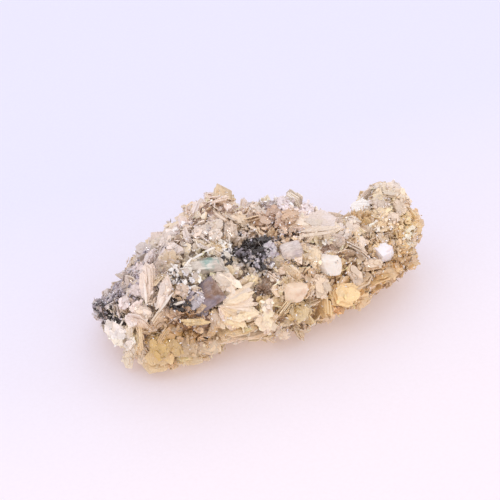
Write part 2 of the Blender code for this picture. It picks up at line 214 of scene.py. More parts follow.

# %% [markdown]
# ## Where each colour lies
#
# The mica isn't one colour.  Iron stains it golden along the foot and at the far lobe, the broken face is
# grey and mauve, and the front edge is cream.  Painting a picture over the lump would be one way; a short
# list of stained places is clearer.  Each has a middle, a reach and a colour, and any point of the lump
# takes the mixture of the places near it.  A few places hold painted light rather than a stain: a painted
# highlight, and a top made brighter and bluer where the overhead light falls.

# %% The stained places
def srgb(red, green, blue):
    """A screen colour (0 to 255) as the linear colour that Blender works in."""
    screen = (red, green, blue)
    return np.array([((c / 255 + 0.055) / 1.055) ** 2.4 if c > 10 else c / 3294.6 for c in screen])


CREAM = srgb(232, 206, 178)
PLACES = (  # name, station, clock (degrees), reach (mm), colour, strength
    ("broken_face", -44, 72, 12, (190, 172, 176), 1.6),
    ("broken_face_high", -31, 86, 12, (222, 204, 196), 1.2),
    ("grey_west", -55, 50, 7, (150, 138, 150), 2.0),
    ("mauve_spots", -47, 62, 5, (186, 158, 158), 1.0),
    ("west_ridge", -44, 138, 9, (190, 174, 182), 2.4),
    ("back_ridge", -32, 156, 9, (208, 192, 190), 2.0),
    ("rose_west", -48.5, 36, 5, (240, 216, 208), 2.2),
    ("pale_blades", -41, 44, 8, (250, 230, 214), 1.8),
    ("west_bulge", -53, -4, 7, (255, 246, 240), 3.2),
    ("golden_foot", -42, -6, 8, (204, 160, 48), 3.2),
    ("golden_foot_east", -33, 2, 7, (184, 136, 54), 2.8),
    ("brown_recess", -36, 20, 5, (172, 116, 44), 2.4),
    ("front_fringe", -38, -27, 8, (250, 230, 196), 1.6),
    ("fan", -17, 10, 9, (248, 224, 200), 1.4),
    ("strata", -12, -17, 12, (248, 224, 196), 1.2),
    ("disc", -7, 6, 6, (250, 224, 188), 1.2),
    ("olive", 4, 0, 5, (202, 170, 84), 2.2),
    ("pinkish", 12, 15, 6, (228, 202, 176), 1.0),
    ("golden_front", 23, 2, 9, (236, 200, 140), 2.2),
    ("orange_spot", 16.5, -8, 2.6, (240, 184, 96), 2.4),
    ("golden_fibre", 8, 103, 5.5, (200, 156, 104), 2.8),
    ("gold_book_root", 11.5, 86, 5.5, (210, 164, 108), 3.0),
    # pink_crest is partly painted light: brighter and bluer on top, where the overhead light falls
    ("pink_crest", 16, 118, 9, (250, 236, 255), 3.6),
    ("smooth_book", 23, 82, 9, (248, 230, 224), 2.2),
    # hump_top is partly painted light: brighter on top, where the overhead light falls
    ("hump_top", -13, 100, 10, (246, 224, 216), 2.0),
    # gold_glint is a painted highlight
    ("gold_glint", -15, 78, 4, (240, 212, 160), 1.0),
    ("lobe_gold", 40, 116, 5, (214, 176, 104), 3.2),
    ("lobe_middle", 36, 55, 8, (226, 200, 172), 1.4),
    ("knob", 51, 112, 8, (240, 222, 210), 2.0),
    ("east_gold", 55, 42, 8, (236, 200, 134), 2.0),
    ("fold_gold", 42, 6, 8, (208, 164, 92), 2.2),
    ("pale_lip", 33, 22, 4, (240, 214, 184), 1.0),
    ("quartz_fringe", -14, 42, 5, (222, 206, 192), 0.9),
    ("seam", -5, 52, 5, (150, 140, 144), 1.6),
    ("below_seam", -5, 34, 4, (206, 188, 172), 1.2),
    ("under_aquamarine", -24, 56, 5, (240, 234, 222), 1.6),
)
print("stained places:", len(PLACES))

# %% Mix the stains
PLACE_POINTS = np.array([list(place(x, degrees, 0.0)) for _, x, degrees, _, _, _ in PLACES])
PLACE_REACH = np.array([reach * MM for _, _, _, reach, _, _ in PLACES])
PLACE_COLOURS = np.array([srgb(*colour) for _, _, _, _, colour, _ in PLACES])
PLACE_STRENGTH = np.array([strength for _, _, _, _, _, strength in PLACES])
CREAM_STRENGTH = 0.3
YELLOWER = np.array([0.99, 0.985, 0.86])  # the light in the room is a little rosy; the mica isn't
WARMTH = 0.09  # how far one book is warmer or cooler than the next
DARKEST, LIGHTEST = 0.01, 0.93


def stains(points):
    """The mixed colour of the mica at each point of an array."""
    away = np.linalg.norm(points[:, None, :] - PLACE_POINTS[None], axis=2)
    weight = PLACE_STRENGTH * np.exp(-((away / PLACE_REACH) ** 2))
    mixed = CREAM * CREAM_STRENGTH + weight @ PLACE_COLOURS
    return mixed / (CREAM_STRENGTH + weight.sum(axis=1, keepdims=True))


def stain(point):
    """The mixed colour of the mica at one point."""
    return stains(np.array([point]))[0]


def tinted(point, dice, spread=0.12):
    """The stain at a point, made a little lighter or darker, warmer or cooler, for one book."""
    light = 1.0 + dice.uniform(-spread, spread)
    warm = dice.uniform(-WARMTH, WARMTH)
    cast = np.array([1 + 0.2 * warm, 1.0, 1 - 2 * warm])
    return np.clip(stain(point) * light * cast * YELLOWER, DARKEST, LIGHTEST)


print("colour of the lump's front:", [round(float(v), 2) for v in stain(place(0.0, 0.0, 0.0))])

# %% [markdown]
# ## One book of mica
#
# Mica splits into flexible sheets, so a book of it is a stack of thin six-sided plates that don't quite
# line up: one is chipped, the next stands out, and the whole stack is slightly bent.  Modelling thousands
# one by one would be endless.  Instead a few dozen patterns are shaped once with bmesh operators, and each
# place on the lump gets a turned, stretched and tinted copy.

# %% Shape one sheet
# the rim band is brightened in the mica material: a painted highlight along each sheet's edge
RIM = 0.14  # the width of the band that catches the light along a sheet's edge, as a share of its half width


def all_of(bm):
    return bm.verts[:] + bm.edges[:] + bm.faces[:]


def cut_off(bm, point, way, close=True):
    """Cut away what lies past a plane, and close the cut with a flat face."""
    cut = bmesh.ops.bisect_plane(bm, geom=all_of(bm), plane_co=point, plane_no=way, clear_outer=True)
    edges = [item for item in cut["geom_cut"] if isinstance(item, bmesh.types.BMEdge)]
    if close and edges:
        bmesh.ops.contextual_create(bm, geom=edges)


def sheet(dice, corners, rounding=0.0, chips=0, ragged=0.0, cuts=0):
    """A closed sheet: a polygon whose edge is chipped, rounded or ragged, then given a thickness."""
    bm = bmesh.new()
    bmesh.ops.create_circle(bm, cap_ends=True, segments=len(corners), radius=1.0)
    for vert, (turn, reach) in zip(bm.verts, corners):
        vert.co = Vector((math.cos(turn), math.sin(turn), 0.0)) * reach
    for _ in range(chips):
        turn = dice.uniform(0, 2 * math.pi)
        way = Vector((math.cos(turn), math.sin(turn), 0.0))
        cut_off(bm, way * dice.uniform(0.35, 0.85), way, close=False)
    if rounding > 0:
        bmesh.ops.bevel(
            bm, geom=bm.verts[:], offset=rounding, affect="VERTICES", segments=2, profile=0.5, material=-1
        )
    if ragged > 0:
        bmesh.ops.subdivide_edges(bm, edges=bm.edges[:], cuts=1)
        for vert in bm.verts:
            vert.co.xy *= 1.0 + dice.uniform(-ragged, ragged * 0.4)
    bmesh.ops.inset_region(bm, faces=bm.faces[:], thickness=RIM, use_even_offset=True)
    rim = bm.verts.layers.float.new("rim")
    for vert in bm.verts:
        vert[rim] = 1.0 if vert.is_boundary else 0.0
    if cuts > 0:
        bmesh.ops.triangulate(bm, faces=bm.faces[:])
        bmesh.ops.subdivide_edges(bm, edges=bm.edges[:], cuts=cuts, use_grid_fill=True)
    grown = bmesh.ops.extrude_face_region(bm, geom=bm.faces[:])
    risen = [item for item in grown["geom"] if isinstance(item, bmesh.types.BMVert)]
    bmesh.ops.translate(bm, verts=risen, vec=(0, 0, 1))
    return bm


def as_arrays(bm):
    """The points, triangles, rim values and shades of a closed bmesh, which is then let go."""
    bmesh.ops.recalc_face_normals(bm, faces=bm.faces[:])
    bmesh.ops.triangulate(bm, faces=bm.faces[:])
    rim = bm.verts.layers.float.get("rim")
    bm.verts.index_update()
    points = np.array([vert.co[:] for vert in bm.verts])
    triangles = np.array([[vert.index for vert in face.verts] for face in bm.faces])
    rims = np.array([vert[rim] if rim else 0.0 for vert in bm.verts])
    bm.free()
    return points, triangles, rims, np.ones(len(points))


HEXAGON = [(math.radians(60 * k), 1.0) for k in range(6)]
print("triangles in a plain sheet:", len(as_arrays(sheet(random.Random(1), HEXAGON))[1]))

# %% Stack sheets into a book
SHEET_SHADES = (0.88, 1.14)


def outline(dice, corners, wobble):
    """The corners of a rough polygon, as (turn, reach)."""
    step = 2 * math.pi / corners
    return [(step * (k + dice.uniform(-wobble, wobble)), dice.uniform(0.86, 1.04)) for k in range(corners)]


def book_pattern(
    dice, sheets, corners=6, wobble=0.24, rounding=0.0, chips=1, ragged=0.03, bend=0.05, slip=0.04,
    taper=0.1, cuts=0,
):
    """A stack of sheets in a box from -1 to 1; every sheet has a shade of its own."""
    layers = []
    base = outline(dice, corners, wobble)
    curl = [dice.uniform(-bend, bend) for _ in range(3)]
    depth = 2.0 / sheets
    count = 0
    for level in range(sheets):
        outer = abs(2 * (level + 0.5) / sheets - 1)
        chipped = chips if dice.random() < 0.25 + 0.6 * outer else 0
        shape = [
            (turn + dice.uniform(-0.05, 0.05), reach * dice.uniform(0.95, 1.03) * (1 - taper * outer**2))
            for turn, reach in base
        ]
        flat, faces, rim, even = as_arrays(sheet(dice, shape, rounding, chipped, ragged, cuts))
        flat[:, 0] += dice.uniform(-slip, slip)
        flat[:, 1] += dice.uniform(-slip, slip)
        flat[:, 2] = -1 + level * depth + flat[:, 2] * depth * dice.uniform(0.80, 0.97)
        x, y = flat[:, 0], flat[:, 1]
        flat[:, 2] += 6 * (curl[0] * x * x + curl[1] * y * y + curl[2] * x * y)
        layers.append((flat, faces + count, rim, even * dice.uniform(*SHEET_SHADES)))
        count += len(flat)
    return tuple(np.concatenate(column) for column in zip(*layers))


def many(amount, seed, **how):
    dice = random.Random(seed)
    return [book_pattern(dice, **how) for _ in range(amount)]


# %% The patterns of mica
PATTERNS = {
    "thick": many(12, 7, sheets=3, chips=2, bend=0.04, taper=0.28, slip=0.12),
    "smooth": many(8, 8, sheets=3, rounding=0.08, ragged=0.07, chips=2, bend=0.07, cuts=1, taper=0.2),
    "thin": many(14, 9, sheets=2, wobble=0.3, chips=2, bend=0.12, taper=0.3, slip=0.16),
    "blade": many(
        6, 10, sheets=4, wobble=0.3, rounding=0.07, ragged=0.06, chips=2, bend=0.07, cuts=1, taper=0.25,
        slip=0.1,
    ),
    "fan": many(8, 11, sheets=4, corners=5, wobble=0.25, ragged=0.05, bend=0.1, cuts=1, slip=0.16, taper=0.3),
    "strata": many(
        6, 12, sheets=5, corners=7, wobble=0.3, ragged=0.08, chips=2, bend=0.10, slip=0.2, taper=0.25,
    ),
    "flake": many(14, 13, sheets=1, wobble=0.32, ragged=0.0, bend=0.16),
    "round": many(6, 14, sheets=2, corners=8, wobble=0.3, rounding=0.12, ragged=0.04, bend=0.14, cuts=1),
    "shard": many(8, 18, sheets=2, corners=3, wobble=0.12, ragged=0.07, bend=0.06, slip=0.08, cuts=1),
    "slab": many(3, 17, sheets=9, corners=5, wobble=0.15, rounding=0.14, bend=0.03, slip=0.03, cuts=1),
    "scale": many(16, 16, sheets=1, corners=7, wobble=0.4, chips=2, ragged=0.08, bend=0.05),
}
for kind, made in PATTERNS.items():
    print(kind, "patterns", len(made), "triangles in the first", len(made[0][1]))

# %% [markdown]
# Crystals with no sheets need two more patterns.  A crumb is a box with its corners cut off by flat planes,
# as any broken grain is.  A needle is the black tourmaline's habit: a prism with a rounded three-cornered
# section, ribbed along its length, and broken straight across at its ends.

# %% Crumbs and needles
NEEDLE_GIRTH = 0.88  # as a share of the pattern's half width
NEEDLE_CORNERS = 0.09  # how far the three corners stand out
RIB_HEIGHT = 0.07


def crumb(dice, planes=6):
    bm = bmesh.new()
    bmesh.ops.create_cube(bm, size=2.0)
    for _ in range(planes):
        way = Vector([dice.uniform(-1, 1) for _ in range(3)]).normalized()
        cut_off(bm, way * dice.uniform(0.75, 1.05), way)
    return as_arrays(bm)


def needle(dice, ribs=9):
    bm = bmesh.new()
    bmesh.ops.create_cone(bm, cap_ends=True, segments=2 * ribs, radius1=1.0, radius2=1.0, depth=2.4)
    phase = dice.uniform(0, 2 * math.pi)
    for vert in bm.verts:
        turn = math.atan2(vert.co.y, vert.co.x)
        rib = RIB_HEIGHT * math.cos(ribs * turn)
        vert.co.xy *= NEEDLE_GIRTH + NEEDLE_CORNERS * math.cos(3 * turn + phase) + rib
    for end in (-1, 1):
        way = Vector((dice.uniform(-0.3, 0.3), dice.uniform(-0.3, 0.3), end)).normalized()
        cut_off(bm, Vector((0, 0, end * dice.uniform(0.8, 1.0))), way)
    bmesh.ops.rotate(bm, verts=bm.verts[:], matrix=Matrix.Rotation(math.pi / 2, 3, "Y"))
    return as_arrays(bm)


crumb_dice = random.Random(15)
PATTERNS["crumb"] = [crumb(crumb_dice) for _ in range(12)]
PATTERNS["needle"] = [needle(crumb_dice) for _ in range(8)]
print("triangles in a crumb:", len(PATTERNS["crumb"][0][1]), " in a needle:", len(PATTERNS["needle"][0][1]))

# %% [markdown]
# ## Thousands of copies, one mesh
#
# Thousands of separate objects would be slow, and instances don't survive an export.  A heap keeps many
# copies as one mesh.  Each copy brings a tint, stored on its points, so that one material can colour every
# book differently; the tint's fourth number, the heart, is 1 in the middle of a book and 0 at its edge.
# Each copy also brings its own local coordinates, called leaf, in millimetres: X and Y run across the
# sheets and Z through the stack, so streaks and layers follow each book.  A heap can be given a rock to
# settle on: a copy that would float over it is brought down until it touches.

# %% Make a mesh a piece of the specimen
VALUE_FIELDS = {"FLOAT": "value", "FLOAT_COLOR": "color", "FLOAT_VECTOR": "vector"}


def write_values(mesh, name, kind, values):
    """Keep a value on every point of a mesh, for its material to read."""
    values = np.asarray(values).ravel()
    mesh.attributes.new(name, kind, "POINT").data.foreach_set(VALUE_FIELDS[kind], values)


def adopt(name, mesh, material, node=None, copies=1):
    """Give the mesh its material, and make it a piece that rides on the specimen's body."""
    mesh.materials.append(material)
    piece = bpy.data.objects.new(name, mesh)
    bpy.context.scene.collection.objects.link(piece)
    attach(piece, "root")
    if node:
        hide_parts(node)
    print(f"{name}: copies {copies}, triangles {len(mesh.polygons)}")


# %% A heap of copies
SPARE = 0.4 * MM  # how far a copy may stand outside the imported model's box
LOWEST = np.array(CAD_BOX[0]) - SPARE
HIGHEST = np.array(CAD_BOX[1]) + SPARE
DEEPEST = -2.5 * MM  # a copy that reaches further below the floor is left out
LEAF_STEPS = np.array([1.7, 2.3, 3.1])  # how far the next copy's pattern is shifted, in mm
SETTLED = 0.4  # how far a copy's centre may stand off the rock, as a share of its half length
SHARP_ANGLE = math.radians(28)


class Heap:
    def __init__(self, name, follow=False, rock=None):
        """With follow, each copy's tint changes over it as the stains do."""
        self.name, self.follow, self.rock = name, follow, rock
        self.points, self.triangles, self.tints, self.rims, self.leaves = [], [], [], [], []
        self.count = 0
        self.copies = 0

    def settled(self, centre, reach):
        """The centre, brought down where it's further from the rock than the reach in millimetres."""
        near, _, _, gap = self.rock.find_nearest(centre)
        return near + (centre - near) * min(1.0, reach * MM / max(gap, 1e-9))

    def add(self, pattern, centre, facing, long_way, sizes, tint):
        """Place a pattern: facing is its Z, long_way its X, sizes the half lengths in millimetres."""
        points, triangles, rims, shades = pattern
        side = facing.cross(long_way)
        axes = np.array([long_way * sizes[0] * MM, side * sizes[1] * MM, facing * sizes[2] * MM])
        placed = points @ axes + np.array(centre)
        low = placed[:, 2].min()
        if low < DEEPEST:
            return
        placed[:, 2] -= min(low, 0.0)
        if (placed.min(axis=0) < LOWEST).any() or (placed.max(axis=0) > HIGHEST).any():
            return
        change = stains(placed) / stain(centre) if self.follow else 1.0
        heart = np.clip(1.0 - points[:, 0] ** 2 - points[:, 1] ** 2, 0.0, 1.0)
        self.points.append(placed)
        self.triangles.append(triangles + self.count)
        self.tints.append(np.column_stack([np.clip(np.outer(shades, tint) * change, 0.0, 1.0), heart]))
        self.rims.append(rims)
        self.leaves.append(points * np.array(sizes) + self.copies * LEAF_STEPS)
        self.count += len(placed)
        self.copies += 1

    def scatter(self, kind, dice, *, facing, centre, size, tint):
        """Place one copy of a random pattern of a kind, turned at random about its facing."""
        long_way = facing.cross(Vector([dice.uniform(-1, 1) for _ in range(3)])).normalized()
        if self.rock:
            centre = self.settled(centre, SETTLED * size[0])
        self.add(dice.choice(PATTERNS[kind]), centre, facing, long_way, size, tint)

    def make(self, material, node=None):
        """Turn the heap into one mesh."""
        mesh = bpy.data.meshes.new(self.name)
        points, triangles = np.vstack(self.points), np.vstack(self.triangles)
        mesh.vertices.add(len(points))
        mesh.vertices.foreach_set("co", points.astype(np.float32).ravel())
        mesh.loops.add(triangles.size)
        mesh.loops.foreach_set("vertex_index", triangles.astype(np.int32).ravel())
        mesh.polygons.add(len(triangles))
        mesh.polygons.foreach_set("loop_start", np.arange(0, triangles.size, 3, dtype=np.int32))
        mesh.update(calc_edges=True)
        mesh.validate()
        mesh.shade_smooth()
        mesh.set_sharp_from_angle(angle=SHARP_ANGLE)
        write_values(mesh, "tint", "FLOAT_COLOR", np.vstack(self.tints))
        write_values(mesh, "rim", "FLOAT", np.concatenate(self.rims))
        write_values(mesh, "leaf", "FLOAT_VECTOR", np.vstack(self.leaves))
        adopt(self.name, mesh, material, node, self.copies)


# %% [markdown]
# ## How a finish is put together
#
# A material is a small machine of nodes, and building one by hand takes many lines.  A finish keeps the
# nodes and links of one material together, and each of its methods adds one node and hands back what comes
# out of it, so a material reads like a recipe: make clouds, make streaks, blend one over the other.

# %% A material in the making
class Finish:
    def __init__(self, name):
        self.material = bpy.data.materials.new(name)
        self.material.use_nodes = True
        self.nodes, self.links = self.material.node_tree.nodes, self.material.node_tree.links

    def fill(self, socket, value):
        """Link an output to a socket, or set the socket to a plain value."""
        if isinstance(value, bpy.types.NodeSocket):
            self.links.new(value, socket)
        else:
            socket.default_value = value

    def node(self, kind, result, sockets, **settings):
        """Add a node, choose its settings, fill its sockets and give back one of its outputs."""
        added = self.nodes.new("ShaderNode" + kind)
        for name, value in settings.items():
            setattr(added, name, value)
        for name, value in sockets.items():
            self.fill(added.inputs[name], value)
        return added.outputs[result]

    def kept(self, name, result="Vector"):
        """A value that is kept on the mesh."""
        return self.node("Attribute", result, {}, attribute_name=name)

    def noise(self, vector, stretch, detail=3.0, rough=0.5):
        """A noise texture on a vector that is first stretched by three factors."""
        stretched = self.node("VectorMath", "Vector", {0: vector, 1: stretch}, operation="MULTIPLY")
        sockets = {"Vector": stretched, "Scale": 1.0, "Detail": detail, "Roughness": rough}
        return self.node("TexNoise", "Fac", sockets)

    def remap(self, value, old, new):
        sockets = {"Value": value, "From Min": old[0], "From Max": old[1], "To Min": new[0], "To Max": new[1]}
        return self.node("MapRange", "Result", sockets)

    def math(self, operation, *values):
        """One operation on up to three values."""
        return self.node("Math", "Value", dict(enumerate(values)), operation=operation)

    def scaled(self, colour, factor):
        return self.node("VectorMath", "Vector", {0: colour, "Scale": factor}, operation="SCALE")

    def blended(self, factor, first, second):
        """A mixture of two colours; each may be an output or three numbers."""
        first, second = (c if isinstance(c, bpy.types.NodeSocket) else (*c, 1.0) for c in (first, second))
        return self.node("Mix", "Result", {"Factor": factor, "A": first, "B": second}, data_type="RGBA")

    def bump(self, height, strength, distance):
        return self.node("Bump", "Normal", {"Height": height, "Strength": strength, "Distance": distance})

    def done(self, sockets):
        """Fill the sockets of the shader, and hand the finished material back."""
        for name, value in sockets.items():
            self.fill(self.nodes["Principled BSDF"].inputs[name], value)
        print("finish:", self.material.name, "nodes:", len(self.nodes))
        return self.material


# %% [markdown]
# ## The finish of the mica
#
# A cleavage face of mica is smooth and pearly.  Light goes a little way in and comes back from every sheet
# that it meets.  Real transmission would be one way to show that, but in sheets as thin as these it turns
# grey, so here the depth is in the colour: amber clouds where a book is thick, a milky veil of painted sheen
# where its sheets part, and a painted highlight on the rim where light leaves the edge.  Terraces a hair high
# step over each face with painted highlight lines along their edges, white grains of painted glint are
# strewn over it, and a thin coat gives the sharp glint on top.

# %% The mica material
TERRACES = 6.0  # steps of cleavage over the whole range of a noise
TERRACE_HEIGHT = 0.0004  # metres
# the near-white of the painted highlights, painted sheen and painted glints on the mica, and of the sparks
PALE_HIGHLIGHT = (0.97, 0.95, 1.0)
AMBER = (0.82, 0.69, 0.40)  # what the colour is multiplied by deep inside a book


def mica_material(name, roughness=0.30, edge_light=0.6, depth=1.0):
    finish = Finish(name)
    leaf, edge = finish.kept("leaf"), finish.kept("rim", "Fac")
    tint, heart = finish.kept("tint", "Color"), finish.kept("tint", "Alpha")
    clouds = finish.noise(leaf, (0.24, 0.30, 0.5), detail=5.0, rough=0.62)
    veil = finish.noise(leaf, (0.30, 0.55, 0.8), detail=5.0, rough=0.6)
    streaks = finish.noise(leaf, (0.16, 1.25, 1.2), detail=4.0, rough=0.6)
    grain = finish.noise(leaf, (1.7, 1.7, 1.7), rough=0.7)
    climb = finish.math("MULTIPLY", finish.noise(leaf, (0.22, 0.36, 0.2)), TERRACES)
    # Golden books get a less white painted highlight than white ones, so their gold stays clean.
    saturation = finish.node("SeparateColor", 1, {"Color": tint}, mode="HSV")
    whiteness = finish.remap(saturation, (0.15, 0.9), (0.36, 0.14))
    pale = finish.blended(whiteness, finish.scaled(tint, 1.2), PALE_HIGHLIGHT)
    amber = finish.node("VectorMath", "Vector", {0: tint, 1: AMBER}, operation="MULTIPLY")
    # Amber lies in the heart of a book, and a milky painted sheen towards its edge.
    in_heart = finish.math("MULTIPLY_ADD", heart, 1.2, 0.35)
    deep = finish.math("MULTIPLY", in_heart, finish.remap(clouds, (0.38, 0.58), (0.0, depth)))
    colour = finish.blended(deep, tint, amber)
    off_heart = finish.math("MULTIPLY_ADD", heart, -0.7, 0.74)
    milk = finish.math("MULTIPLY", off_heart, finish.remap(veil, (0.50, 0.68), (0.0, 1.0)))
    colour = finish.blended(milk, colour, pale)
    # Streaks and dark dust, then painted highlight lines on the terraces, white grains of painted glint and
    # the painted highlight on the rim.
    colour = finish.scaled(colour, finish.remap(streaks, (0.32, 0.66), (0.88, 1.12)))
    colour = finish.scaled(colour, finish.remap(grain, (0.44, 0.30), (1.0, 0.42)))
    terrace_highlight = finish.remap(finish.math("FRACT", climb), (0.25, 0.0), (0.0, 0.25))
    colour = finish.blended(terrace_highlight, colour, pale)
    colour = finish.blended(finish.remap(grain, (0.58, 0.70), (0.0, 1.0)), colour, PALE_HIGHLIGHT)
    colour = finish.blended(finish.remap(edge, (0.1, 1.0), (0.0, edge_light)), colour, pale)
    height = finish.math("MULTIPLY_ADD", finish.math("FLOOR", climb), 0.5, streaks)
    return finish.done({
        "Base Color": colour,
        "Roughness": finish.remap(veil, (0.3, 0.7), (roughness - 0.08, roughness + 0.2)),
        "Normal": finish.bump(height, 0.8, TERRACE_HEIGHT),
        "IOR": 1.75,
        "Specular IOR Level": 0.8,
        "Coat Weight": 0.7,
        "Coat Roughness": 0.07,
    })


MICA = mica_material("mica_pearly")
THIN = mica_material("mica_thin", roughness=0.26, edge_light=0.5, depth=0.95)
CRUSHED = mica_material("mica_crushed", roughness=0.5, edge_light=0.05, depth=0.9)

# %% [markdown]
# ## Crystals keep their room
#
# The mica grew round the other crystals, so no book may stand on top of one.  A search tree over the packed
# crystals answers the question "how far is the nearest crystal?" for every place that is tried.

# %% The room round the crystals
CRYSTALS = [name for name in sorted(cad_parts) if name != "mica_cluster"]


def tree_of(meshes):
    """A search tree over some meshes."""
    joined = bmesh.new()
    for mesh in meshes:
        joined.from_mesh(mesh)
    tree = BVHTree.FromBMesh(joined)
    joined.free()
    return tree


CRYSTAL_TREE = tree_of([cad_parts[name].data for name in CRYSTALS])


def room(point):
    """The distance in millimetres from a point to the nearest crystal."""
    return CRYSTAL_TREE.find_nearest(point)[3] / MM


print("crystals:", CRYSTALS)

# %% [markdown]
# ## The ground between the books
#
# Deep between the books the rock is a brown, crumbly mass of crushed mica.  Its colour is the stain
# darkened, partly for the crushed mica's own brown and partly as painted shade in the recesses.  It is the
# recipe's skin, taken in by a millimetre and pushed in under each crystal, so that it never shows through a
# clear one.

# %% Where the ground lies
SUNK = 1.1  # mm
UNDER_CRYSTAL = 0.35  # mm
SEARCH_FROM, SEARCH_REACH = 9, 13  # mm: how far inside the search for a crystal starts, and how far it goes
GROUND_CRUMBS = ((1.6 * MM, 0.55), (0.7 * MM, 0.3))  # width in metres, height in mm


def inward_at(station, point):
    middle = spine(station)
    return (Vector((station, middle[0], middle[1])) * MM - point).normalized()


def ground_point(station, clock):
    point = raw_skin(station, clock)
    inward = inward_at(station, point)
    crumbs = sum(noise.noise(point / width) * height for width, height in GROUND_CRUMBS)
    sunk = point + inward * (SUNK - crumbs) * MM + SHIFT
    hit = CRYSTAL_TREE.ray_cast(sunk + inward * SEARCH_FROM * MM, -inward, SEARCH_REACH * MM)[0]
    if hit is not None and (hit + inward * UNDER_CRYSTAL * MM - sunk).dot(inward) > 0:
        sunk = hit + inward * UNDER_CRYSTAL * MM
    sunk.z = max(sunk.z, 0.0)
    return sunk


def from_sphere(co):
    """Station and clock of a point on a unit sphere."""
    half, middle = (EAST_TIP - WEST_TIP) / 2, (EAST_TIP + WEST_TIP) / 2
    return middle + half * co.x, math.atan2(co.z, -co.y)


def sphere_places(subdivisions):
    """Stations and clocks spread evenly over the lump."""
    bm = bmesh.new()
    bmesh.ops.create_icosphere(bm, subdivisions=subdivisions, radius=1.0)
    places = [from_sphere(vert.co) for vert in bm.verts]
    bm.free()
    return places


EVERYWHERE = sphere_places(6)
print("places to choose from:", len(EVERYWHERE))

# %% The ground mass as a mesh
GROUND_SUBDIVISIONS = 6
# the ground's darkening is partly the crushed mica's own brown and partly painted shade in the recesses
GROUND_BROWN_AND_SHADE = np.array([0.62, 0.52, 0.44])
GROUND_HEART = 0.3

bm = bmesh.new()
bmesh.ops.create_icosphere(bm, subdivisions=GROUND_SUBDIVISIONS, radius=1.0)
for vert in bm.verts:
    vert.co = ground_point(*from_sphere(vert.co))
bmesh.ops.recalc_face_normals(bm, faces=bm.faces[:])
for face in bm.faces:
    face.smooth = False
# the stain darkened: the crushed mica's brown and painted shade
tints = [[*(stain(vert.co) * GROUND_BROWN_AND_SHADE), GROUND_HEART] for vert in bm.verts]
leaves = [(vert.co / MM)[:] for vert in bm.verts]
mesh = bpy.data.meshes.new("ground_mass")
bm.to_mesh(mesh)
bm.free()
write_values(mesh, "tint", "FLOAT_COLOR", tints)
write_values(mesh, "rim", "FLOAT", np.zeros(len(leaves)))
write_values(mesh, "leaf", "FLOAT_VECTOR", leaves)
adopt("ground_mass", mesh, CRUSHED, "mica_cluster")

# %% [markdown]
# ## The large books
#
# The imported solid holds these books too, as plain slabs.  The largest are listed, a row of numbers for
# each, and here every slab is exchanged for a stack of sheets in the same place.

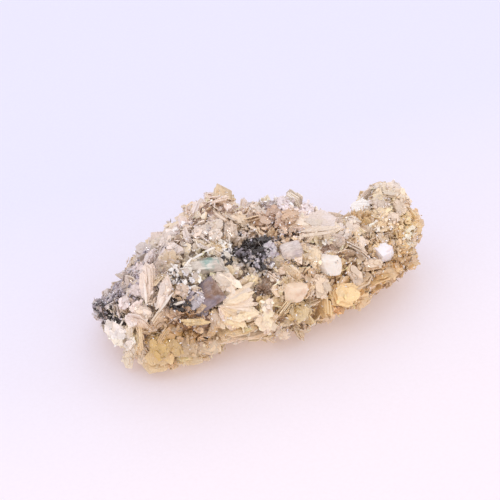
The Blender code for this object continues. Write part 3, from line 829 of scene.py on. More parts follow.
# %% The listed books
LARGE_BOOKS = (  # name, station, clock, lift, facing (azimuth, elevation), roll, half sizes, pattern
    ("tall_blade_a", -42, 51, 1.8, (-50, 30), 14, (8.6, 2.7, 1.5), "blade"),
    ("tall_blade_b", -38.5, 40, 2.0, (-35, 32), -8, (7.0, 2.4, 1.5), "blade"),
    ("square_plate", -46, 28, 1.6, (-35, 40), 75, (3.8, 2.9, 1.5), "smooth"),
    ("smooth_bulge", -53, -16, 0.8, (-50, 30), 60, (4.2, 2.9, 2.0), "smooth"),
    ("thin_ring", -49.5, -5, 1.2, (-70, 20), 25, (4.6, 2.9, 0.6), "round"),
    ("thin_upright", -48, 2, 1.6, (-88, 5), 12, (5.4, 3.6, 0.6), "round"),
    ("thin_back", -50, 12, 1.2, (-80, 10), 5, (3.8, 3.0, 0.6), "round"),
    ("golden_plate", -43, -11, 1.0, (-25, 18), 15, (7.0, 5.2, 1.0), "fan"),
    ("golden_low", -36, -8, 0.6, (-5, 30), 60, (6.0, 4.4, 1.0), "fan"),
    ("front_fringe_a", -43, -26, 0.8, (-20, 50), 100, (6.0, 3.2, 0.9), "strata"),
    ("front_fringe_b", -34, -24, 1.0, (-5, 55), 80, (6.2, 3.2, 0.9), "strata"),
    ("long_pale_plate", -18, 31, 1.2, (-5, 45), 45, (5.6, 3.2, 1.2), "fan"),
    ("fan_top", -17, 14, 1.0, (-20, 42), -73, (7.0, 3.0, 0.5), "fan"),
    ("fan_middle", -16.5, 9, 1.2, (-15, 38), -98, (7.2, 3.2, 0.5), "fan"),
    ("fan_low", -18.5, 4, 1.0, (-10, 32), -125, (6.4, 3.0, 0.5), "fan"),
    ("round_disc", -6.5, 9, 2.6, (-20, 40), 0, (2.8, 2.5, 1.5), "smooth"),
    ("wedge_plate", -7.5, -1, 1.4, (-30, 30), 20, (4.4, 3.8, 1.2), "fan"),
    ("strata_a", -20, -18, 0.6, (0, 72), 88, (8.0, 3.4, 0.7), "strata"),
    ("strata_b", -11, -18, 0.8, (0, 72), 84, (8.0, 3.4, 0.7), "strata"),
    ("strata_c", -15, -10, 0.6, (0, 76), 86, (7.0, 3.0, 0.6), "strata"),
    ("rough_plate", -27.5, -16, 1.0, (-20, 40), 80, (4.6, 3.2, 1.2), "strata"),
    ("big_smooth_book", 20, 84, -1.2, (-5, 60), -105, (10.5, 6.2, 3.6), "slab"),
    ("crest_book", 14, 100, -1.0, (10, 68), -95, (7.0, 4.6, 2.6), "slab"),
    ("tilted_hexagon", 14, 37, 1.4, (-55, 45), 20, (4.0, 3.0, 0.8), "thin"),
    ("olive_plate", 4, 0, 1.0, (-15, 40), 80, (3.8, 3.4, 0.9), "fan"),
    ("rounded_cream", -0.5, -20, 1.0, (-30, 45), 60, (3.4, 2.6, 1.2), "smooth"),
    ("pinkish_mass", 13, 15, 0.4, (-10, 40), 20, (4.6, 3.6, 2.0), "thick"),
    ("golden_mass", 22, 4, 0.5, (0, 38), 70, (6.0, 4.8, 1.8), "strata"),
    ("orange_flake", 16.5, -8, 0.8, (-15, 35), 75, (2.4, 1.6, 0.8), "smooth"),
    ("upright_a", 42.5, 71, 1.6, (-50, 30), -35, (2.8, 1.1, 0.6), "blade"),
    ("upright_b", 44.5, 69, 1.6, (-40, 30), -30, (3.0, 1.2, 0.6), "blade"),
    ("curled_lip", 34, 22, 1.0, (0, 58), 80, (4.2, 2.2, 1.0), "fan"),
    ("golden_fold_a", 38, 6, 0.8, (15, 45), 78, (5.4, 3.0, 0.8), "strata"),
    ("golden_fold_b", 43, 0, 0.8, (30, 40), 65, (5.0, 3.0, 0.8), "strata"),
    ("knob_plate_a", 50, 113, 0.2, (-45, 50), 0, (3.8, 2.8, 1.2), "thick"),
    ("knob_plate_b", 56, 104, 0.4, (5, 50), -20, (4.2, 3.4, 0.8), "thick"),
    ("knob_fold", 47.5, 91, 0.8, (-10, 55), 95, (4.6, 2.2, 0.9), "fan"),
    ("radial_lump", 40, 117, -0.4, (-20, 50), 0, (3.8, 3.6, 2.2), "round"),
    ("white_disc", 38.4, 133, 0.5, (-10, 60), 90, (3.1, 2.5, 0.8), "round"),
)
print("books set by hand:", len(LARGE_BOOKS))

# %% [markdown]
# A book's two faces are never clean.  Broken sheets stay on them, each a step higher or lower than its
# neighbour, and bits of other books stick to them.  Both stay within the book's own outline.

# %% Broken sheets and bits on a book
SCALES_ON_A_BOOK = 6
SCALE_SHARES = (0.22, 0.6)  # a scale's half length, as a share of the book's
SCALE_RISES = (-0.05, 0.3)  # mm above the book's face
SCALE_THICKNESS = 0.16
BITS_ON_A_BOOK = 12
BIT_REACH = 0.8  # as a share of the book's half sizes
BIT_SIZES = (0.35, 1.0)  # half lengths in mm
BIT_RISES = (0.0, 0.35)  # mm above the book's face
BIT_THICKNESS = 0.08


def turned(towards, roll):
    """The facing and the long way of a listed book; roll 0 stands it uphill."""
    facing = direction(*towards)
    uphill = Vector((0, 0, 1)) - facing * facing.z
    return facing, (Matrix.Rotation(math.radians(roll), 3, facing) @ uphill).normalized()


def add_scales(heap, dice, centre, facing, long_way, sizes, tint):
    """Broken sheets on both faces of a book, and bits on its front."""
    side = facing.cross(long_way)
    length, width, thickness = sizes
    for _ in range(SCALES_ON_A_BOOK):
        along, across = dice.uniform(-0.6, 0.6), dice.uniform(-0.55, 0.55)
        face = dice.choice((1, 1, -1))
        share = dice.uniform(*SCALE_SHARES)
        rise = facing * face * (thickness + dice.uniform(*SCALE_RISES))
        middle = centre + (long_way * along * length + side * across * width + rise) * MM
        tilted = (facing + any_way(dice) * 0.10).normalized()
        heap.add(
            dice.choice(PATTERNS["scale"]), middle, tilted, side.cross(tilted).normalized(),
            (length * share, width * share * dice.uniform(0.7, 1.2), SCALE_THICKNESS),
            tint * dice.uniform(0.8, 1.25),
        )
    for _ in range(BITS_ON_A_BOOK):
        along, across = dice.uniform(-0.9, 0.9), dice.uniform(-0.9, 0.9)
        inwards = min(1.0, BIT_REACH / max(math.hypot(along, across), 0.01))
        along, across = along * inwards, across * inwards
        rise = facing * (thickness + dice.uniform(*BIT_RISES))
        size = dice.uniform(*BIT_SIZES)
        heap.scatter(
            "flake", dice, facing=(facing + any_way(dice) * 0.5).normalized(),
            centre=centre + (long_way * along * length + side * across * width + rise) * MM,
            size=(size, size * 0.7, BIT_THICKNESS), tint=tint * dice.uniform(0.7, 1.3),
        )


# %% Stand the listed books
books = Heap("mica_books", follow=True)
scales = Heap("mica_scales", follow=True)
style = random.Random(99)
scale_dice = random.Random(98)


def stand_book(kind, centre, facing, long_way, sizes, tint):
    books.add(style.choice(PATTERNS[kind]), centre, facing, long_way, sizes, tint)
    add_scales(scales, scale_dice, centre, facing, long_way, sizes, tint)


for _, x, degrees, lift, towards, roll, sizes, kind in LARGE_BOOKS:
    centre = place(x, degrees, lift)
    stand_book(kind, centre, *turned(towards, roll), sizes, tinted(centre, style, 0.04))
print("books stood:", books.copies)

# %% [markdown]
# ## The scattered books
#
# The other large books are scattered.  Pure chance would crowd some places and leave others bare, so
# places all over the lump are tried in a shuffled order, and one is kept when no other seat is near it.
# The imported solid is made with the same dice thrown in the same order, so both agree.  Books that grew side
# by side lean the same way: a slowly changing flow over the lump says which.

# %% Seats for the scattered books
SEAT_SPACING = 6.4  # mm
SEAT_SEED = 89
LEAST_HEIGHT = 2.2  # mm above the underside
FLOW_REACH = 16.0  # mm over which neighbouring books turn together
BOOK_SHARE = 0.8  # the share of a large book's half width that keeps other books away


def seats():
    dice = random.Random(SEAT_SEED)
    places = sphere_places(5)
    dice.shuffle(places)
    chosen = []
    for x, clock in places:
        point = raw_skin(x, clock)
        if point.z < LEAST_HEIGHT * MM:
            continue
        if all((point - other[1]).length > SEAT_SPACING * MM for other in chosen):
            chosen.append((x, point, raw_normal(x, clock)))
    return chosen


def under_large_book(point):
    """Whether a large book already holds this place on the skin."""
    for _, x, degrees, lift, _, _, sizes, _ in LARGE_BOOKS:
        if (point + SHIFT - place(x, degrees, lift)).length < sizes[1] * BOOK_SHARE * MM:
            return True
    return False


SEATS = seats()
print("seats:", len(SEATS))


# %% The way that neighbouring books lean
def flow(point):
    """The direction that neighbouring books share: it changes slowly from place to place."""
    return Vector([noise.noise(point / (FLOW_REACH * MM) + Vector((0, 0, 40 * k))) for k in range(3)])


def leaning(dice, point, normal, lean, stray):
    """A book's facing, leant off the normal along the flow, and the flow there."""
    drift = flow(point) + Vector([dice.uniform(-stray, stray) for _ in range(3)])
    tangent = (drift - normal * drift.dot(normal)).normalized()
    return normal * math.cos(lean) + tangent * math.sin(lean), drift


print("flow at the front:", [round(v, 2) for v in flow(raw_skin(0.0, 0.0))])

# %% Stand the scattered books
BOOK_LEANS = (15, 88)  # degrees between a book's facing and the normal of the skin
BOOK_STRAY = 0.5  # how far a book turns away from the flow
BOOK_SIZES = (3.0, 6.0)  # half lengths in mm
BOOK_THICKNESSES = (0.45, 1.25)  # half of each, in mm
END_STATIONS = (-50.0, 43.0)
END_SHARE = 0.72  # books past these stations are this much smaller
BOOK_SUNK = 0.42  # how deep a book's root goes, as a share of its half length
LEAST_ROOM = 0.5  # mm from a crystal for each millimetre of half length

for number, (x, point, normal) in enumerate(SEATS):
    if under_large_book(point):
        continue
    dice = random.Random(SEAT_SEED * 1000 + number)
    lean = math.radians(dice.uniform(*BOOK_LEANS))
    facing, drift = leaning(dice, point, normal, lean, BOOK_STRAY)
    size = dice.uniform(*BOOK_SIZES)
    if not END_STATIONS[0] < x < END_STATIONS[1]:
        size *= END_SHARE
    length, width = size * dice.uniform(1.0, 1.35), size * dice.uniform(0.75, 1.0)
    sizes = (length, width, dice.uniform(*BOOK_THICKNESSES))
    uphill = normal - facing * normal.dot(facing)
    if uphill.length < 0.2:
        uphill = facing.cross(drift)
    long_way = Matrix.Rotation(dice.uniform(-0.5, 0.5), 3, facing) @ uphill
    long_way = (long_way - facing * long_way.dot(facing)).normalized()
    sunk = BOOK_SUNK * length * math.sin(lean)
    centre = point + normal * (0.35 - sunk * 0.55) * MM + SHIFT
    if room(centre) < LEAST_ROOM * size:
        continue
    kind = style.choice(["thick", "thick", "thin", "fan"])
    tint = tinted(centre, style)
    stand_book(kind, centre, facing, long_way, sizes, tint)
books.make(MICA)
scales.make(MICA)

# %% [markdown]
# ## Plates and flakes in between
#
# Between the large books the specimen bristles with smaller plates and thin flakes.  They could be thrown
# on at random, but real ones follow the same flow as the books, loosely, and every one turns away from it
# a little.  The plates stand in the ground like the books; flakes settle on whatever lies under them.

# %% Scatter the plates
PLATE_STRAY = 0.6  # how far a plate or flake turns away from the flow


def strew(heap, kinds, amount, seed, *, half, thick, lift, lean, spread=0.12):
    """Scatter copies all over the lump; half lengths, thicknesses and lifts in mm, leans in degrees."""
    dice = random.Random(seed)
    for _ in range(amount):
        x, clock = dice.choice(EVERYWHERE)
        point, normal = raw_skin(x, clock), raw_normal(x, clock)
        centre = point + SHIFT + normal * dice.uniform(*lift) * MM
        size = dice.uniform(*half)
        tilt = math.radians(dice.uniform(*lean))
        facing = leaning(dice, point, normal, tilt, PLATE_STRAY)[0].normalized()
        sizes = (size * dice.uniform(0.9, 1.35), size * dice.uniform(0.7, 1.0), dice.uniform(*thick))
        underneath = point.z < 1.0 * MM and normal.z < -0.5
        if underneath or room(centre) < 0.4 * size + 0.1:
            continue
        heap.scatter(
            dice.choice(kinds), dice, facing=facing, centre=centre, size=sizes,
            tint=tinted(centre, dice, spread),
        )


plates = Heap("mica_plates", follow=True)
strew(plates, ["thick", "thin"], 380, 29, half=(2.0, 3.6), thick=(0.3, 0.9), lift=(-0.8, 0.8), lean=(5, 80))
strew(plates, ["flake", "thin"], 1100, 31, half=(1.3, 2.8), thick=(0.12, 0.4), lift=(-0.6, 0.9), lean=(5, 80))
plates.make(THIN)

# %% Scatter the flakes
ROCK = ["ground_mass", "mica_books", "mica_scales", "mica_plates"]
KNOB_STATIONS = (44, 62)
KNOB_CLOCKS = (10, 150)
KNOB_FLAKES = 560  # the raised lobe is the most finely broken part


def surface_of(names):
    """A search tree over finished pieces, for small copies to settle on."""
    return tree_of([bpy.data.objects[name].data for name in names])


BOOKS_AND_PLATES = surface_of(ROCK)
flakes = Heap("mica_flakes", rock=BOOKS_AND_PLATES)
strew(
    flakes, ["flake"], 5600, 37, half=(0.45, 1.3), thick=(0.05, 0.16), lift=(-0.8, 1.2), lean=(0, 90),
    spread=0.3,
)
dice = random.Random(38)
for _ in range(KNOB_FLAKES):
    station, clock = dice.uniform(*KNOB_STATIONS), dice.uniform(*KNOB_CLOCKS)
    centre = place(station, clock, dice.uniform(-0.2, 1.6))
    facing = (outward_at(station, clock) + any_way(dice) * 0.8).normalized()
    size = dice.uniform(0.7, 1.7)
    if room(centre) > 0.5 * size:
        flakes.scatter(
            "flake", dice, facing=facing, centre=centre, size=(size, size * 0.75, 0.1),
            tint=tinted(centre, dice, 0.35),
        )
flakes.make(THIN)

# %% [markdown]
# Two sorts of debris finish the mica.  Slivers are narrow strips of a sheet, a third of them darkened with
# painted shade and the others brightened with a painted highlight, and crumbs are crushed mica that fills
# the corners.

# %% Slivers and crumbs
SLIVERS = 900
# painted light for the slivers: 0.45 is painted shade, 1.4 a painted highlight
SLIVER_PAINTED_LIGHT = (0.45, 1.4, 1.4)
SLIVER_WIDTH, SLIVER_THICKNESS = 0.22, 0.07

slivers = Heap("mica_slivers", rock=BOOKS_AND_PLATES)
dice = random.Random(36)
for _ in range(SLIVERS):
    x, clock = dice.choice(EVERYWHERE)
    centre = place(x, math.degrees(clock), dice.uniform(-0.2, 1.9))
    long_way = (any_way(dice) + flow(centre) * 2.0).normalized()
    facing = long_way.cross(any_way(dice)).normalized()
    length = dice.uniform(0.8, 2.4)
    # each sliver draws its painted light: dark painted shade, bright painted highlight
    shade = dice.choice(SLIVER_PAINTED_LIGHT)
    if room(centre) > 0.4 * length:
        slivers.add(
            dice.choice(PATTERNS["flake"]), slivers.settled(centre, SETTLED * length), facing, long_way,
            (length, SLIVER_WIDTH, SLIVER_THICKNESS), tinted(centre, dice, 0.1) * shade,
        )
slivers.make(THIN)
crumbs = Heap("mica_crumbs")
strew(
    crumbs, ["crumb"], 2200, 41, half=(0.25, 0.6), thick=(0.15, 0.4), lift=(-1.0, 0.6), lean=(0, 90),
    spread=0.3,
)
crumbs.make(CRUSHED)

# %% [markdown]
# ## Black tourmaline
#
# Black tourmaline, or schorl, grows as ribbed needles with a rounded three-cornered section.  In this seam
# they are short, broken and packed together, with grey and lilac quartz grains between them, so from a step
# away they read as one glittering black band.  A bundle of needles follows each packed prism, and crumbs
# fill the gaps.

# %% The black material
def schorl_material():
    finish = Finish("schorl_black")
    leaf, tint = finish.kept("leaf"), finish.kept("tint", "Color")
    ribs = finish.noise(leaf, (0.3, 5.0, 5.0), detail=2.0)
    dust = finish.noise(leaf, (2.2, 2.2, 2.2))
    return finish.done({
        "Base Color": finish.blended(finish.remap(dust, (0.60, 0.72), (0.0, 0.35)), tint, (0.22, 0.20, 0.22)),
        "Roughness": finish.remap(dust, (0.3, 0.7), (0.12, 0.45)),
        "Normal": finish.bump(ribs, 0.5, 0.00015),
        "IOR": 1.64,
        "Coat Weight": 0.5,
        "Coat Roughness": 0.08,
    })


SCHORL = schorl_material()

# %% The bundles of needles
BLACK = (0.026, 0.015, 0.011)
GREYS = ((0.10, 0.09, 0.11), (0.30, 0.27, 0.30), (0.52, 0.47, 0.51), (0.74, 0.69, 0.70))
# Each node's rows: station, clock, lift, long axis (azimuth, elevation), half length, radius, pale share.
PRISMS = {
    "schorl_seam": (
        (-10.5, 55, 0.3, (80, 4), 4.8, 1.7, 0.1),
        (-5.5, 59, 0.6, (68, 14), 4.2, 2.3, 0.04),
        (-1.4, 61, 0.6, (96, -4), 3.4, 2.0, 0.04),
        (-3, 49, 0.3, (74, 6), 4.4, 2.4, 0.5),
        (-7, 47, 0.1, (112, -24), 3.6, 1.7, 0.4),
        (-5.5, 38, 0.0, (10, 44), 3.8, 1.9, 0.5),
    ),
    "schorl_left_end": (
        (-55.2, 12, -0.3, (-50, 68), 4.2, 2.3, 0.1),
        (-54.6, 32, -0.4, (40, 50), 3.6, 2.1, 0.45),
    ),
    "schorl_pocket": (
        (-34.2, 30, 0.3, (80, -20), 4.4, 1.8, 0.15),
    ),
}
NEEDLES_IN_BUNDLE = 26
NEEDLE_SPREAD = 0.16  # how far a needle leans away from the prism's axis
CRUMBS_IN_BUNDLE = 90
CRUMB_SIZES = (0.2, 0.6)  # half widths in mm


def bundle(heap, dice, row):
    """Needles along one packed prism, and crumbs of quartz and tourmaline round them."""
    x, degrees, lift, axis, half, radius, paleness = row
    middle, way = place(x, degrees, lift), direction(*axis)
    for _ in range(NEEDLES_IN_BUNDLE):
        lean = (way + any_way(dice) * NEEDLE_SPREAD).normalized()
        off = way.cross(any_way(dice)) * radius * dice.uniform(0.1, 0.75) * MM
        along = way * half * dice.uniform(-0.55, 0.55) * MM
        thick = radius * dice.uniform(0.20, 0.42)
        length = half * dice.uniform(0.25, 0.6)
        facing = lean.cross(any_way(dice)).normalized()
        sizes = (length, thick, thick)
        heap.add(dice.choice(PATTERNS["needle"]), middle + off + along, facing, lean, sizes, BLACK)
    for _ in range(CRUMBS_IN_BUNDLE):
        off = way.cross(any_way(dice)).normalized() * radius * dice.uniform(0.5, 1.05) * MM
        along = way * half * dice.uniform(-1.0, 1.0) * MM
        grain = dice.uniform(*CRUMB_SIZES)
        tint = dice.choice(GREYS) if dice.random() < paleness else BLACK
        heap.scatter(
            "crumb", dice, facing=any_way(dice), centre=middle + off + along,
            size=(grain * 1.3, grain, grain * 0.8), tint=tint,
        )


for number, (node, rows) in enumerate(PRISMS.items()):
    heap = Heap(node + "_needles")
    dice = random.Random(200 + number)
    for row in rows:
        bundle(heap, dice, row)
    heap.make(SCHORL, node)

# %% [markdown]
# ## Specks
#
# In and around the seam, and here and there over the rest, black grains and pale quartz grains are
# sprinkled over the mica, and the white grains among them are painted glints.  Each sprinkling has a
# middle on the skin, a reach, a number of grains and the colours that it draws from.

# %% The colours and places of the specks
LILAC = (0.60, 0.52, 0.58)
PALE_GREY = (0.70, 0.66, 0.66)
# WHITE grains are painted glints: sparkles of the mica drawn as white grains
WHITE = (0.88, 0.85, 0.82)
BROWN = (0.12, 0.07, 0.045)
DUSK = ((0.20, 0.17, 0.19), (0.32, 0.28, 0.31), (0.44, 0.38, 0.42), (0.55, 0.48, 0.52), (0.62, 0.55, 0.58))
QUARTZ = ((0.26, 0.21, 0.24), (0.36, 0.29, 0.31), (0.46, 0.40, 0.43))
TANS = ((0.30, 0.20, 0.12), (0.50, 0.38, 0.27), (0.64, 0.52, 0.42))
SPECKS = (  # name, station, clock, reach (mm), grains, (least, most size), lift range, colours
    ("seam", -6, 54, 4.6, 260, (0.25, 0.75), (-0.2, 1.0), (BLACK, BLACK, BLACK, LILAC)),
    ("seam_tail", -14.6, 51.5, 2.0, 110, (0.25, 0.7), (0.8, 2.2), (BLACK, BLACK, BLACK, LILAC)),
    ("seam_west", -12.5, 55, 2.4, 120, (0.25, 0.7), (0.2, 1.6), (BLACK, BLACK, BLACK, LILAC)),
    ("seam_quartz", -3, 47, 4.0, 120, (0.4, 1.1), (-0.6, 0.6), (LILAC, PALE_GREY, (0.30, 0.27, 0.30))),
    ("seam_right", 2, 58, 3.2, 70, (0.2, 0.6), (-0.2, 0.8), (BLACK, LILAC, PALE_GREY)),
    ("crack", 8.5, 70, 2.0, 40, (0.2, 0.5), (0.2, 1.4), (BLACK, BROWN, BLACK)),
    ("crack_east", 12, 67, 1.6, 24, (0.2, 0.45), (0.4, 1.6), (BLACK, BROWN, BLACK)),
    ("below_seam", -5.5, 37, 2.8, 80, (0.25, 0.7), (-0.2, 1.0), (BLACK, BLACK, PALE_GREY, WHITE)),
    ("crevice", -7.5, 19, 1.6, 16, (0.2, 0.45), (-0.2, 0.5), (BLACK, BROWN)),
    ("beside_aquamarine", -14.2, 54, 2.6, 90, (0.2, 0.55), (0.8, 2.6), (BLACK, PALE_GREY, WHITE, WHITE)),
    ("west_grains", -45, 62, 6.0, 120, (0.25, 0.75), (0.2, 1.6), DUSK),
    ("left_tip", -55.0, 15, 3.2, 460, (0.3, 0.8), (-0.2, 1.2), (*[BLACK] * 7, LILAC)),
    ("left_grey", -54.4, 66, 4.4, 420, (0.3, 0.8), (-0.2, 1.4), (BLACK, BLACK, BLACK, *DUSK)),
    ("west_crest", -52, 104, 4.2, 280, (0.25, 0.75), (0.2, 1.6), DUSK),
    ("west_ridge", -44, 128, 4.6, 300, (0.25, 0.8), (0.6, 2.4), DUSK),
    ("back_ridge", -36, 146, 4.6, 240, (0.25, 0.7), (0.6, 2.4), DUSK),
    ("west_dark", -45, 72, 5.4, 150, (0.2, 0.6), (0.2, 1.8), (BLACK, BROWN, LILAC)),
    ("sparkle", -33.5, 51, 2.4, 60, (0.25, 0.6), (0.3, 1.6), (BLACK, BLACK, WHITE)),
    ("quartz_west", -29.6, 31, 2.6, 70, (0.5, 1.2), (-0.2, 0.9), QUARTZ),
    ("quartz_foot", -28.0, 20, 1.8, 30, (0.4, 0.9), (-0.2, 0.7), QUARTZ),
    ("silver_dark", -32, 46, 2.2, 50, (0.25, 0.55), (0.2, 1.6), (BLACK, (0.3, 0.28, 0.26), PALE_GREY)),
    ("quartz_edge", -29, 36, 2.8, 60, (0.25, 0.6), (0.3, 1.4), (BLACK, LILAC, WHITE)),
    ("pocket", -34.5, 29, 2.8, 90, (0.25, 0.7), (0.0, 1.2), (BLACK, BLACK, BROWN)),
    ("top_specks", -8, 84, 3.4, 50, (0.2, 0.5), (0.4, 1.8), (BLACK, PALE_GREY)),
    ("top_dark", 2, 96, 6.0, 24, (0.2, 0.5), (0.4, 2.0), (BLACK, BROWN)),
    ("hump_dark", -18, 92, 7.0, 60, (0.2, 0.5), (0.4, 2.0), (BROWN, BROWN, LILAC)),
    ("knot_edge", 6, 60, 3.4, 70, (0.2, 0.6), (0.2, 1.4), (BLACK, BROWN, LILAC)),
    ("knot_low", 5, 44, 2.4, 40, (0.2, 0.5), (0.2, 1.2), (BLACK, LILAC)),
    ("brown_spot", -31, 78, 1.8, 30, (0.3, 0.8), (0.0, 1.0), (BROWN,)),
    ("brown_gap", 10, 32, 2.4, 40, (0.3, 0.7), (-0.4, 0.4), (BROWN, (0.20, 0.10, 0.06))),
    ("lobe_gap", 33, 66, 2.4, 30, (0.2, 0.5), (-0.2, 0.8), (BLACK, BROWN)),
    ("foot_specks", 24, -24, 2.0, 12, (0.15, 0.35), (0.3, 1.0), (BLACK,)),
    ("seam_grey", 0.6, 51, 2.1, 130, (0.4, 1.0), (1.4, 2.8), (LILAC, PALE_GREY, PALE_GREY, DUSK[4])),
    ("seam_corner", -7.8, 66, 1.7, 80, (0.4, 1.0), (1.4, 2.8), TANS),
    ("seam_low", -8.2, 49, 1.8, 60, (0.3, 0.8), (1.2, 2.6), (BLACK, BLACK, *DUSK[:3])),
)
print("sprinklings:", len(SPECKS))

# %% Sprinkle the specks
DEGREES_PER_MM = 57.3 / 18.0  # of clock, round the specimen
NEEDLES = sorted(node + "_needles" for node in PRISMS)


def place_near(dice, x, degrees, reach, lift_range):
    """A random place on the skin, within some millimetres of a station and clock."""
    turn, away = dice.uniform(0, 2 * math.pi), reach * math.sqrt(dice.random())
    clock = degrees + away * math.sin(turn) * DEGREES_PER_MM
    return place(x + away * math.cos(turn), clock, dice.uniform(*lift_range))


specks = Heap("black_and_pale_specks", rock=surface_of(ROCK + NEEDLES))
for number, (_, x, degrees, reach, grains, size_range, lift_range, colours) in enumerate(SPECKS):
    dice = random.Random(300 + number)
    for _ in range(grains):
        centre = place_near(dice, x, degrees, reach, lift_range)
        grain = dice.uniform(*size_range)
        specks.scatter(
            "crumb", dice, facing=any_way(dice), centre=centre,
            size=(grain, grain * 0.8, grain * 0.6), tint=dice.choice(colours),
        )
specks.make(SCHORL)

# %% [markdown]
# ## Quartz, feldspar and the aquamarine
#
# These crystals are single blocks with flat faces.  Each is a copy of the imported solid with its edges
# worn by a small bevel, which is what catches the light on a real crystal.  Local coordinates along the
# prism are kept on the mesh, so that growth lines run the way the crystal grew.

# %% Wear the edges of a crystal
MERGED = 0.00001  # metres: corners that lie closer become one
FLAT = math.radians(2)
DENT_WIDTH = 1.4  # mm
CRYSTAL_SHARP_ANGLE = math.radians(24)


def crystal_bmesh(name):
    """A merged copy of a packed crystal, with its flat faces whole again."""
    bm = bmesh.new()
    bm.from_mesh(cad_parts[name].data)
    bmesh.ops.remove_doubles(bm, verts=bm.verts[:], dist=MERGED)
    bmesh.ops.dissolve_limit(bm, angle_limit=FLAT, verts=bm.verts[:], edges=bm.edges[:])
    return bm


def worn_crystal(name, node, slot, material, axis, bevel, dents, facets=()):
    """A copy of a packed crystal; facets are extra flat faces: (azimuth, elevation), distance in mm."""
    bm = crystal_bmesh(node)
    middle = box_middle(node)
    for towards, distance in facets:
        cut_off(bm, middle + direction(*towards) * distance * MM, direction(*towards))
    bmesh.ops.bevel(
        bm, geom=bm.edges[:], offset=bevel * MM, affect="EDGES", segments=2, profile=0.5,
        material=-1, clamp_overlap=True,
    )
    bmesh.ops.triangulate(bm, faces=bm.faces[:])
    bmesh.ops.subdivide_edges(bm, edges=bm.edges[:], cuts=2, use_grid_fill=True)
    way = direction(*axis)
    across = way.cross(Vector((0, 0, 1))).normalized()
    up = across.cross(way)
    for vert in bm.verts:
        vert.co += vert.normal * noise.noise(vert.co / (DENT_WIDTH * MM)) * dents * MM
    leaves = [[(vert.co - middle).dot(line) / MM for line in (way, across, up)] for vert in bm.verts]
    bmesh.ops.triangulate(bm, faces=bm.faces[:])
    mesh = bpy.data.meshes.new(name)
    bm.to_mesh(mesh)
    bm.free()
    mesh.shade_smooth()
    mesh.set_sharp_from_angle(angle=CRYSTAL_SHARP_ANGLE)
    write_values(mesh, "leaf", "FLOAT_VECTOR", leaves)
    adopt(name, mesh, material, node)


# %% [markdown]
# A clear crystal lets light through by plain transmission, bent by the mineral's own index of refraction.
# Few are clear all through: milky veils hang in them, growth lines run along them, and the colour gathers
# in one place, as the blue-green does at one end of this aquamarine.

# %% The clear material
def clear_material(name, near_colour, far_colour, zone, veil, *, milk, clear, roughness, bend):
    """A clear crystal with another colour about one point of it (zone: its place and reach in mm)."""
    finish = Finish(name)
    leaf = finish.kept("leaf")
    patches = finish.noise(leaf, (0.35, 0.35, 0.35))
    veils = finish.noise(leaf, (0.4, 0.7, 0.7), detail=5.0, rough=0.6)
    lines = finish.noise(leaf, (0.12, 1.3, 1.3))
    away = finish.node("VectorMath", "Value", {0: leaf, 1: zone[:3]}, operation="DISTANCE")
    ramp = finish.remap(away, (0.0, zone[3]), (1.5, -0.3))
    held = finish.math("MULTIPLY_ADD", finish.remap(patches, (0.3, 0.7), (-0.8, 0.8)), 1.0, ramp)
    colour = finish.blended(finish.remap(held, (0.0, 1.0), (0.0, 1.0)), near_colour, far_colour)
    colour = finish.blended(finish.remap(veils, (0.42, 0.62), (0.0, milk)), colour, veil)
    return finish.done({
        "Base Color": finish.scaled(colour, finish.remap(lines, (0.3, 0.7), (0.86, 1.10))),
        "Transmission Weight": finish.remap(veils, (0.42, 0.62), (clear, clear * 0.3)),
        "Roughness": finish.remap(lines, (0.3, 0.7), (roughness, roughness + 0.2)),
        "Normal": finish.bump(lines, 0.5, 0.0003),
        "IOR": bend,
    })


BERYL_BEND, QUARTZ_BEND = 1.58, 1.544
AQUAMARINE_CLEAR = clear_material(
    "aquamarine_clear", srgb(232, 220, 206), srgb(172, 206, 196), (2.0, 0.0, 2.4, 4.2), srgb(244, 234, 222),
    milk=0.85, clear=0.3, roughness=0.12, bend=BERYL_BEND,
)
SMOKY_CLEAR = clear_material(
    "smoky_clear", srgb(160, 146, 154), srgb(152, 116, 92), (4.0, 0.0, 0.0, 7.0), srgb(196, 180, 176),
    milk=0.35, clear=0.25, roughness=0.14, bend=QUARTZ_BEND,
)
KNOT_CLEAR = clear_material(
    "quartz_clear", srgb(232, 216, 206), srgb(206, 190, 196), (3.0, 0.0, 0.0, 5.0), srgb(244, 232, 224),
    milk=0.7, clear=0.25, roughness=0.2, bend=QUARTZ_BEND,
)

# %% [markdown]
# Albite, a white feldspar, is milky rather than clear.  Light goes under its surface and comes out again
# close by, which is what subsurface scattering is for, and its cleavage shows as faint steps.

# %% The feldspar material
def feldspar_material(name, body, shade):
    finish = Finish(name)
    leaf = finish.kept("leaf")
    clouds = finish.noise(leaf, (0.5, 0.5, 0.5), detail=4.0)
    steps = finish.noise(leaf, (0.3, 0.3, 4.0), detail=2.0)
    return finish.done({
        "Base Color": finish.blended(finish.remap(clouds, (0.50, 0.75), (0.0, 0.7)), body, shade),
        "Roughness": finish.remap(clouds, (0.3, 0.7), (0.28, 0.55)),
        "Normal": finish.bump(steps, 0.35, 0.00025),
        "IOR": 1.53,
        "Subsurface Weight": 0.4,
        "Subsurface Radius": (1.0, 0.9, 0.8),
        "Subsurface Scale": 0.0006,
    })


ALBITE_WHITE = feldspar_material("albite_white", srgb(252, 242, 232), srgb(238, 220, 204))
ALBITE_LILAC = feldspar_material("albite_lilac", srgb(252, 246, 250), srgb(232, 212, 206))
ALBITE_CREAM = feldspar_material("albite_cream", srgb(246, 224, 200), srgb(222, 188, 154))

